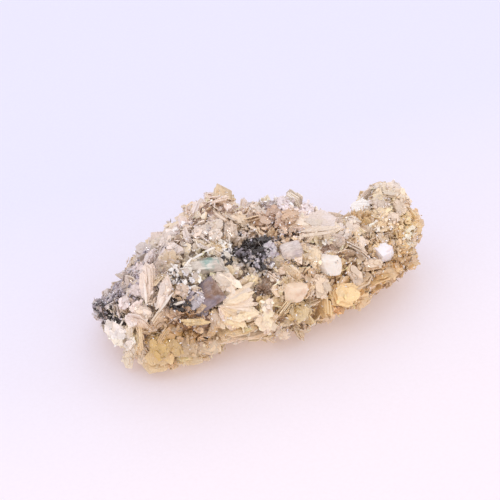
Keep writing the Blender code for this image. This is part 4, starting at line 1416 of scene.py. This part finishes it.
# %% The clear crystals and the white ones
AQUAMARINE_FACETS = (((70, 40), 5.0), ((-110, 30), 5.6))
SMOKY_FACETS = (((25, 50), 3.4), ((-70, 40), 3.0), ((-20, 5), 3.4), ((100, 20), 3.6))
AQUAMARINE = ("aquamarine", AQUAMARINE_CLEAR)
SMOKY = ("smoky_quartz", SMOKY_CLEAR)
SINGLE_CRYSTALS = (  # name, node, (slot, material), axis (azimuth, elevation), bevel, dents, facets
    ("aquamarine_prism", "aquamarine_crystal", AQUAMARINE, (80, -4), 0.4, 0.35, AQUAMARINE_FACETS),
    ("smoky_quartz_prism", "smoky_quartz_face", SMOKY, (60, 42), 0.10, 0.08, SMOKY_FACETS),
    ("smoky_quartz_lump", "smoky_quartz_knot", ("smoky_quartz", KNOT_CLEAR), (84, 4), 0.5, 0.35, ()),
    ("albite_white_wedge", "albite_wedge", ("albite", ALBITE_WHITE), (30, 20), 0.55, 0.3, ()),
    ("albite_lilac", "albite_right", ("albite", ALBITE_LILAC), (10, 40), 0.45, 0.3, ()),
    ("albite_cream_block", "albite_block", ("albite", ALBITE_CREAM), (-12, 10), 0.5, 0.25, ()),
)
for name, node, (slot, material), *shape in SINGLE_CRYSTALS:
    worn_crystal(name, node, slot, material, *shape)

# %% [markdown]
# ## Loose sheets, glints and frills
#
# Some books lie loose on the lump instead of growing out of it.  They are listed one by one, because they
# make the large calm faces that the eye finds first: a bulge at the thick end, honey-coloured plates along
# the foot, and one wide book near the middle.  Most of them carry broken sheets like the books below.

# %% The loose sheets listed one by one
COVERS = (  # name, station, clock, lift, facing (azimuth, elevation), roll, half sizes, kind, colour
    ("west_bulge", -53.0, 3, 1.9, (-38, 42), 75, (4.4, 3.2, 1.4), "smooth", (250, 238, 230)),
    ("west_foot_a", -50.4, -44, 1.8, (-45, 28), 65, (4.2, 2.0, 0.4), "thin", (250, 232, 202)),
    ("west_foot_b", -49.4, -40, 2.6, (-38, 34), 10, (3.8, 2.2, 0.4), "fan", (248, 230, 200)),
    ("west_ring", -49.6, -4, 3.0, (-62, 22), -20, (3.6, 1.8, 0.3), "thin", (252, 238, 220)),
    ("arc_low", -29.2, 58, 2.7, (-20, 60), -45, (2.4, 0.5, 0.2), "scale", (250, 244, 234)),
    ("arc_middle", -25.2, 62, 2.7, (-20, 60), -62, (2.4, 0.5, 0.2), "scale", (250, 246, 238)),
    ("arc_high", -21.4, 64, 2.6, (-15, 65), -76, (2.4, 0.5, 0.2), "scale", (250, 246, 238)),
    ("over_left_end", -30.6, 52, 2.2, (-30, 60), 30, (1.7, 1.1, 0.25), "scale", (206, 186, 164)),
    ("over_left_low", -28.6, 47, 2.0, (-40, 40), -30, (1.8, 1.0, 0.25), "scale", (198, 178, 156)),
    ("over_right_end", -14.8, 52, 2.2, (40, 55), 20, (2.0, 1.2, 0.3), "thin", (212, 202, 184)),
    ("over_right_low", -18.5, 43, 2.0, (0, 45), 60, (2.8, 1.4, 0.25), "scale", (206, 198, 178)),
    ("tan_plate", -33.4, 41, 1.8, (-12, 50), 30, (2.7, 2.3, 0.5), "smooth", (204, 172, 138)),
    ("pocket_strip", -35.6, 31, 2.6, (-20, 50), -75, (2.8, 0.5, 0.3), "scale", (236, 224, 204)),
    ("blade_edge_a", -38.6, 33, 3.6, (-35, 35), -28, (4.6, 0.5, 0.3), "scale", (248, 236, 222)),
    ("blade_edge_b", -43.4, 44, 3.6, (-50, 30), 20, (5.0, 0.5, 0.3), "scale", (246, 232, 216)),
    ("honey_plate", -31.4, 15, 1.7, (-15, 45), -96, (5.4, 1.3, 0.4), "scale", (224, 188, 110)),
    ("amber_sheet", -42.4, -6, 2.4, (-25, 22), 10, (4.6, 4.2, 0.4), "smooth", (200, 160, 44)),
    ("amber_sheet_low", -38.5, -4, 2.0, (-15, 28), 40, (3.6, 2.8, 0.4), "fan", (202, 160, 60)),
    ("quartz_side", -29.8, 31, 1.3, (-25, 45), -35, (3.4, 2.2, 0.5), "smooth", (184, 170, 176)),
    ("clear_fold", 26.4, 15, 1.8, (0, 35), 25, (4.4, 2.4, 0.7), "smooth", (220, 192, 158)),
    ("honey_lump", 28.8, -16, 1.6, (10, 28), -78, (4.8, 3.4, 0.9), "smooth", (232, 196, 138)),
    ("honey_small", 19.0, -10, 1.8, (0, 35), 60, (2.0, 1.4, 0.6), "smooth", (234, 172, 78)),
    ("book_face", 21.0, 82, 3.0, (-12, 60), -86, (7.4, 4.4, 0.8), "smooth", (240, 220, 208)),
    ("book_root", 12.0, 88, 3.0, (-16, 58), -80, (3.8, 3.0, 0.6), "smooth", (206, 164, 116)),
    ("book_strip_a", 16.5, 60, 3.2, (-10, 50), -91, (7.6, 0.7, 0.25), "blade", (226, 204, 176)),
    ("book_strip_b", 19.0, 65, 3.4, (-8, 52), -94, (8.0, 1.0, 0.25), "blade", (232, 212, 188)),
    ("radial_sheet", 39.5, 115, 1.2, (-25, 52), 20, (3.6, 3.2, 0.5), "fan", (208, 166, 96)),
)
COVER_SHADE = 0.92  # the colours are those of the brightest part of a face
WITH_SCALES = (1.2, 4.3)  # only books of a half width in between carry broken sheets
covers = Heap("mica_covers")
dice = random.Random(97)


def cover(kind, centre, facing, long_way, sizes, colour):
    tint = srgb(*colour) * COVER_SHADE
    covers.add(dice.choice(PATTERNS[kind]), centre, facing, long_way, sizes, tint)
    if WITH_SCALES[0] < sizes[1] < WITH_SCALES[1]:
        add_scales(covers, dice, centre, facing, long_way, sizes, tint)


for _, x, degrees, lift, towards, roll, sizes, kind, colour in COVERS:
    cover(kind, place(x, degrees, lift), *turned(towards, roll), sizes, colour)
print("loose sheets set by hand:", len(COVERS))

# %% Loose books that turn to the front
LOOSE_BOOKS = (  # station, clock, half sizes, kind, colour
    (2, 98, (4.6, 2.8, 0.8), "smooth", (190, 150, 106)),
    (8, 106, (4.2, 2.6, 0.8), "smooth", (184, 138, 92)),
    (-4, 103, (4.0, 2.6, 0.8), "smooth", (222, 196, 160)),
    (4, 112, (3.4, 2.4, 0.6), "round", (226, 204, 180)),
    (14, 118, (4.2, 2.8, 0.8), "smooth", (238, 220, 224)),
    (21, 116, (4.2, 2.8, 0.8), "smooth", (242, 226, 228)),
    (-14, 97, (4.6, 3.2, 0.8), "smooth", (228, 206, 180)),
    (-21, 86, (4.2, 2.8, 0.8), "smooth", (224, 202, 182)),
    (-9, 87, (4.0, 2.8, 0.8), "smooth", (216, 190, 160)),
    (-16, 80, (3.2, 2.2, 0.6), "round", (232, 212, 190)),
    (-36, 92, (3.8, 2.8, 0.7), "smooth", (228, 208, 200)),
    (-41, 80, (3.6, 2.6, 0.7), "smooth", (224, 202, 196)),
    (-29, 98, (4.0, 2.8, 0.7), "smooth", (222, 202, 186)),
    (-31, 74, (3.0, 2.2, 0.6), "round", (226, 206, 192)),
    (-47, 34, (3.0, 2.3, 0.6), "smooth", (238, 218, 210)),
    (-50, 40, (2.6, 2.0, 0.5), "round", (232, 212, 206)),
    (-49, 22, (2.6, 2.0, 0.5), "round", (240, 222, 212)),
    (-46, 50, (2.8, 2.0, 0.5), "smooth", (224, 204, 200)),
    (49, 104, (3.8, 2.8, 0.7), "smooth", (228, 208, 190)),
    (54, 88, (3.4, 2.6, 0.7), "smooth", (226, 202, 172)),
    (44, 40, (3.4, 2.6, 0.7), "smooth", (214, 186, 150)),
    (36, 46, (3.2, 2.4, 0.6), "smooth", (220, 196, 168)),
    (50, 66, (3.2, 2.4, 0.6), "smooth", (222, 194, 160)),
    (55, 118, (3.2, 2.4, 0.6), "round", (232, 214, 200)),
    (34, 86, (3.4, 2.4, 0.6), "smooth", (224, 204, 182)),
    (28, 58, (3.0, 2.2, 0.6), "smooth", (226, 204, 180)),
)
for x, degrees, sizes, kind, colour in LOOSE_BOOKS:
    centre = place(x, degrees, dice.uniform(1.2, 2.2))
    facing = (outward_at(x, degrees) * 0.7 + direction(-20, 50) * 0.6 + any_way(dice) * 0.3).normalized()
    long_way = facing.cross(any_way(dice)).normalized()
    if room(centre) > 0.8 * sizes[0]:
        cover(kind, centre, facing, long_way, sizes, colour)
print("loose books:", len(LOOSE_BOOKS), " copies so far:", covers.copies)

# %% [markdown]
# In front of the middle the mica grows as a fan.  Its blades all start from one root and end along a curve
# that falls away to the left, and every second one is a pointed shard.

# %% The fan
FAN_ROOT = (-23.3, 20, 2.4)  # station, clock, lift
FAN_END = (-9.6, 23, 1.0)  # where the first blade ends
FAN_SWEEP = (-7.0, -36, 1.4)  # how far the ends move from the first blade to the last
FAN_BLADES = 13
BLADE_SHARES = (0.5, 0.64)  # a blade's half length, as a share of its way from the root
BLADE_WIDTHS = (1.1, 1.9)  # half of each, in mm

root = place(*FAN_ROOT)
for number in range(FAN_BLADES):
    share = number / (FAN_BLADES - 1)
    end = place(
        FAN_END[0] + FAN_SWEEP[0] * share**3, FAN_END[1] + FAN_SWEEP[1] * share,
        FAN_END[2] + FAN_SWEEP[2] * math.sin(math.pi * share) + dice.uniform(-0.5, 0.5),
    )
    ray = end - root
    long_way = -ray.normalized()
    flat = direction(-20, 45)
    flat = (flat - long_way * flat.dot(long_way)).normalized()
    pattern = dice.choice(PATTERNS["shard" if number % 2 else "blade"])
    facing = Matrix.Rotation(math.radians(dice.uniform(-22, 22)), 3, long_way) @ flat
    sizes = (ray.length * dice.uniform(*BLADE_SHARES) / MM, dice.uniform(*BLADE_WIDTHS), 0.35)
    covers.add(pattern, root + ray * 0.6, facing, long_way, sizes, tinted(root + ray * 0.5, dice, 0.08))
covers.make(MICA)

# %% [markdown]
# Here and there a fresh cleavage face stands so square to the light that it shines white; here that shine
# is painted into near-white flakes, painted glints.  A few patches of such glints lie where the real specimen
# glitters most, thousands of painted sparks are spread over all of it, and one disc painted white as a
# highlight sticks to the inner side of the raised lobe.

# %% Patches of glints
# the near-white flakes below and their colours are painted glints
GLEAM = mica_material("mica_gleam", roughness=0.18, edge_light=0.6, depth=0.2)
GLINTS = (  # name, station, clock, reach, slivers, (least, most size), colour
    ("beside_seam", -14, 66, 3.2, 40, (0.5, 1.3), (255, 250, 240)),
    ("hump_gold", -13, 100, 1.6, 8, (0.8, 1.5), (255, 240, 200)),
    ("left_white", -33, 60, 1.8, 9, (0.9, 1.8), (255, 248, 240)),
    ("aquamarine_rim", -29, 50, 3.0, 12, (0.8, 1.8), (250, 244, 232)),
    ("lobe_glitter", 53, 22, 4.0, 60, (0.4, 0.9), (255, 250, 232)),
    ("lobe_shine", 53, 30, 2.4, 20, (0.8, 1.8), (255, 244, 212)),
    ("book_shine", 17, 118, 1.4, 5, (0.8, 1.5), (255, 250, 244)),
    ("hump_left", -24, 108, 2.0, 8, (0.6, 1.4), (255, 250, 244)),
    ("fan_shine", -20, 14, 3.0, 10, (0.6, 1.6), (255, 244, 226)),
    ("front_low", 10, -26, 5.0, 16, (0.6, 1.4), (255, 244, 224)),
    ("strata_shine", -14, -26, 8.0, 26, (0.6, 1.6), (255, 246, 226)),
    ("knob_shine", 52, 120, 4.0, 10, (0.6, 1.4), (255, 246, 230)),
    ("silver", -31.5, 46, 2.6, 60, (0.35, 0.9), (240, 238, 240)),
    ("uprights", 43, 70, 2.2, 10, (0.8, 1.6), (250, 240, 222)),
)
GLINT_LIFT = (0.8, 2.2)

SURFACE = surface_of(ROCK + ["mica_covers"] + NEEDLES)
glints = Heap("mica_glints", rock=SURFACE)
for number, (_, x, degrees, reach, amount, size_range, colour) in enumerate(GLINTS):
    dice = random.Random(400 + number)
    for _ in range(amount):
        centre = place_near(dice, x, degrees, reach, GLINT_LIFT)
        size = dice.uniform(*size_range)
        facing = (direction(-20, 60) + any_way(dice) * 0.9).normalized()
        glints.scatter(
            "flake", dice, facing=facing, centre=centre, size=(size, size * 0.55, 0.12), tint=srgb(*colour)
        )
print("glints:", glints.copies)

# %% The white disc, a painted highlight
DISC_SEAT = (43.8, 154, 0.0)  # station, clock, lift
DISC_SIZES = (3.9, 3.2, 0.6)
# pure white: a painted highlight on a mica plate
DISC_HIGHLIGHT_WHITE = (1.0, 1.0, 1.0)

centre = place(*DISC_SEAT) + (direction(-23, 130) * 2.8 + direction(-23, 40) * 5.2) * MM
facing = direction(-20, 45)
long_way = facing.cross(Vector((0, 0, 1))).normalized()
glints.add(PATTERNS["round"][0], centre, facing, long_way, DISC_SIZES, DISC_HIGHLIGHT_WHITE)
print("disc at, in mm:", [round(v / MM, 1) for v in centre])

# %% Sparks everywhere
# each spark is a flake painted near white: a painted glint
SPARKS = 3600
SPARK_LIFT = (0.8, 2.4)
SPARK_SIZES = (0.2, 0.55)  # half lengths in mm

for _ in range(SPARKS):  # with the dice of the last patch of glints
    x, clock = dice.choice(EVERYWHERE)
    degrees = math.degrees(clock)
    centre = place(x, degrees, dice.uniform(*SPARK_LIFT))
    size = dice.uniform(*SPARK_SIZES)
    if room(centre) > 0.3:
        facing = (outward_at(x, degrees) + any_way(dice) * 0.7).normalized()
        glints.scatter("flake", dice, facing=facing, centre=centre, size=(size, size * 0.5, 0.08), tint=PALE_HIGHLIGHT)
glints.make(GLEAM)

# %% [markdown]
# A crystal doesn't stand in an empty hole: mica and crumbs crowd against its foot.  Points are tried at
# random round every crystal, and kept where they are close to it.

# %% Collars round the crystals
COLLAR_TRIES = 420
COLLAR_MARGIN = 1.2 * MM  # how far past a crystal's own reach points are tried
COLLAR_LIFT = (-0.7, 1.4)
COLLAR_SIZES = (0.5, 1.5)  # half lengths in mm
COLLAR_ROOM = (0.05, 1.5)  # mm from the crystal


def clock_of(point):
    """Station and clock angle of a point in the frame."""
    inner = (point - SHIFT) / MM
    y, z = spine(inner.x)
    return inner.x, math.degrees(math.atan2(inner.z - z, -(inner.y - y)))


collars = Heap("mica_collars", rock=SURFACE)
for number, node in enumerate(CRYSTALS):
    dice = random.Random(600 + number)
    low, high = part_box(node)
    middle, reach = box_middle(node), (Vector(high) - Vector(low)).length / 2 + COLLAR_MARGIN
    for _ in range(COLLAR_TRIES):
        station, clock = clock_of(middle + any_way(dice) * reach * math.sqrt(dice.random()))
        lift, size = dice.uniform(*COLLAR_LIFT), dice.uniform(*COLLAR_SIZES)
        centre = place(station, clock, lift)
        facing = (outward_at(station, clock) * 0.8 + any_way(dice)).normalized()
        if not COLLAR_ROOM[0] < room(centre) < COLLAR_ROOM[1]:
            continue
        collars.scatter(
            dice.choice(("flake", "flake", "scale", "crumb")), dice, facing=facing, centre=centre,
            size=(size, size * 0.7, 0.14), tint=tinted(centre, dice, 0.25),
        )
collars.make(THIN)

# %% [markdown]
# Where mica grows out from one spot, its blades spread like a brush.

# %% Brushes of thin blades
TUFTS = (  # name, station, clock, lift, blades, length (mm), width (mm), colour
    ("lobe_fan", 39.5, 115, -0.8, 110, 4.8, 0.7, (208, 168, 100)),
    ("lobe_fan_edge", 39.5, 115, -0.6, 36, 5.2, 0.5, (244, 222, 180)),
    ("crevice_fan", -6.5, 18, -0.6, 46, 3.6, 0.5, (160, 126, 92)),
    ("top_fibre", 7, 104, -1.0, 60, 3.6, 0.6, (190, 142, 98)),
    ("seam_fringe", -12, 74, -0.8, 50, 3.4, 0.6, (212, 184, 146)),
    ("foot_rays", -40, -24, -0.8, 50, 4.0, 0.7, (240, 206, 156)),
)
BLADE_THICKNESS = 0.1

tufts = Heap("mica_brushes")
for number, (_, x, degrees, lift, blades, length, width, colour) in enumerate(TUFTS):
    dice = random.Random(500 + number)
    root, normal = place(x, degrees, lift), outward_at(x, degrees)
    for _ in range(blades):
        ray = (normal * dice.uniform(0.4, 1.2) + any_way(dice) * 0.9).normalized()
        if ray.dot(normal) < 0.1:
            continue
        half = length * dice.uniform(0.35, 0.6)
        facing = ray.cross(any_way(dice)).normalized()
        tufts.add(
            dice.choice(PATTERNS["flake"]), root + ray * half * MM, facing, ray,
            (half, width * dice.uniform(0.6, 1.2), BLADE_THICKNESS), srgb(*colour) * dice.uniform(0.8, 1.15),
        )
tufts.make(MICA)

# %% [markdown]
# ## Floor, light and camera
#
# The floor is a milky sheet, lit faintly from below, rose near the eye and lavender further away.  A pattern
# could be painted on it; a slow change of colour and a fine grain are enough.

# %% The floor
FLOOR_HALF = 2.0  # metres
FLOOR_DEPTH = 0.0002
ROSE = (0.62, 0.66, 0.78)  # nearest the eye
LAVENDER = (0.47, 0.58, 0.81)  # furthest away
FROM_BELOW = (0.34, 0.22, 0.155)

bm = bmesh.new()
bmesh.ops.create_grid(bm, x_segments=1, y_segments=1, size=FLOOR_HALF)
bmesh.ops.translate(bm, verts=bm.verts[:], vec=(0, 0, -FLOOR_DEPTH))
mesh = bpy.data.meshes.new("floor")
bm.to_mesh(mesh)
bm.free()
floor = bpy.data.objects.new("floor", mesh)
bpy.context.scene.collection.objects.link(floor)
finish = Finish("floor_paper")
position = finish.node("TexCoord", "Object", {})
grain = finish.noise(position, (900, 900, 900))
depth = finish.node("SeparateXYZ", "Y", {"Vector": position})
tone = finish.blended(finish.remap(depth, (-0.08, 0.09), (0.0, 1.0)), ROSE, LAVENDER)
mesh.materials.append(finish.done({
    "Base Color": finish.scaled(tone, finish.remap(grain, (0.3, 0.7), (0.985, 1.015))),
    "Roughness": 0.8,
    "Emission Color": (*FROM_BELOW, 1.0),
    "Emission Strength": 1.0,
}))
print("floor of", 2 * FLOOR_HALF, "m")

# %% [markdown]
# One large cool light hangs overhead and three small ones stand round the specimen.  Mica also needs
# something sharp to mirror, so fourteen tiny lamps hang in a spiral above it; each makes a few glints.

# %% The light
SPECIMEN = (0, 0, 0.02)  # what every lamp points at


def softbox(name, spot, aim, size, power, colour):
    lamp = bpy.data.lights.new(name, "AREA")
    lamp.shape = "DISK"
    lamp.size = size
    lamp.energy = power
    lamp.color = colour
    lamp_object = bpy.data.objects.new(name, lamp)
    lamp_object.location = spot
    lamp_object.rotation_euler = (Vector(aim) - Vector(spot)).to_track_quat("-Z", "Y").to_euler()
    bpy.context.scene.collection.objects.link(lamp_object)


BOXES = (  # name, place, size (m), power (W), colour
    ("overhead", (-0.05, 0.20, 0.85), 1.50, 2.80, (0.56, 0.68, 1.0)),
    ("left_box", (-0.80, -0.15, 0.38), 0.50, 0.6, (0.94, 0.94, 1.0)),
    ("right_box", (0.80, -0.10, 0.40), 0.50, 0.6, (1.0, 0.95, 0.90)),
    ("front_box", (0.05, -0.80, 0.45), 0.55, 0.6, (1.0, 0.93, 0.88)),
)
for name, spot, size, power, colour in BOXES:
    softbox(name, spot, SPECIMEN, size, power, colour)
GLINT_LAMPS = 14
GLINT_HEIGHT, GLINT_SIZE, GLINT_POWER = 0.65, 0.022, 0.045  # metres, metres, watts
GLINT_COLOUR = (1.0, 0.98, 0.96)
for number in range(GLINT_LAMPS):
    turn, reach = number * 2.4, 0.12 + 0.6 * math.sqrt(number / GLINT_LAMPS)
    spot = (reach * math.cos(turn), reach * math.sin(turn), GLINT_HEIGHT)
    softbox(f"glint_lamp_{number}", spot, SPECIMEN, GLINT_SIZE, GLINT_POWER, GLINT_COLOUR)
world = bpy.data.worlds.new("room")
world.use_nodes = True
world.node_tree.nodes["Background"].inputs["Color"].default_value = (1.0, 0.93, 0.90, 1.0)
world.node_tree.nodes["Background"].inputs["Strength"].default_value = 0.80
bpy.context.scene.world = world
bpy.context.scene.view_settings.view_transform = "Standard"
print("lights:", len(BOXES) + GLINT_LAMPS)

# %% [markdown]
# The camera stands high in front and a little to the left, with a long lens, as for a specimen on a table.

# %% The camera
AIM = Vector((-0.0042, 0.0016, 0.0230))
CAMERA_AZIMUTH, CAMERA_ELEVATION, CAMERA_DISTANCE = -23.0, 40.0, 0.45
camera_data = bpy.data.cameras.new("camera")
camera_data.lens = 94.0
camera_data.sensor_width = 36.0
camera = bpy.data.objects.new("camera", camera_data)
back = direction(CAMERA_AZIMUTH, CAMERA_ELEVATION)
camera.location = AIM + back * CAMERA_DISTANCE
camera.rotation_euler = (-back).to_track_quat("-Z", "Y").to_euler()
bpy.context.scene.collection.objects.link(camera)
bpy.context.scene.camera = camera
print("camera at, in mm:", [round(v / MM) for v in camera.location])
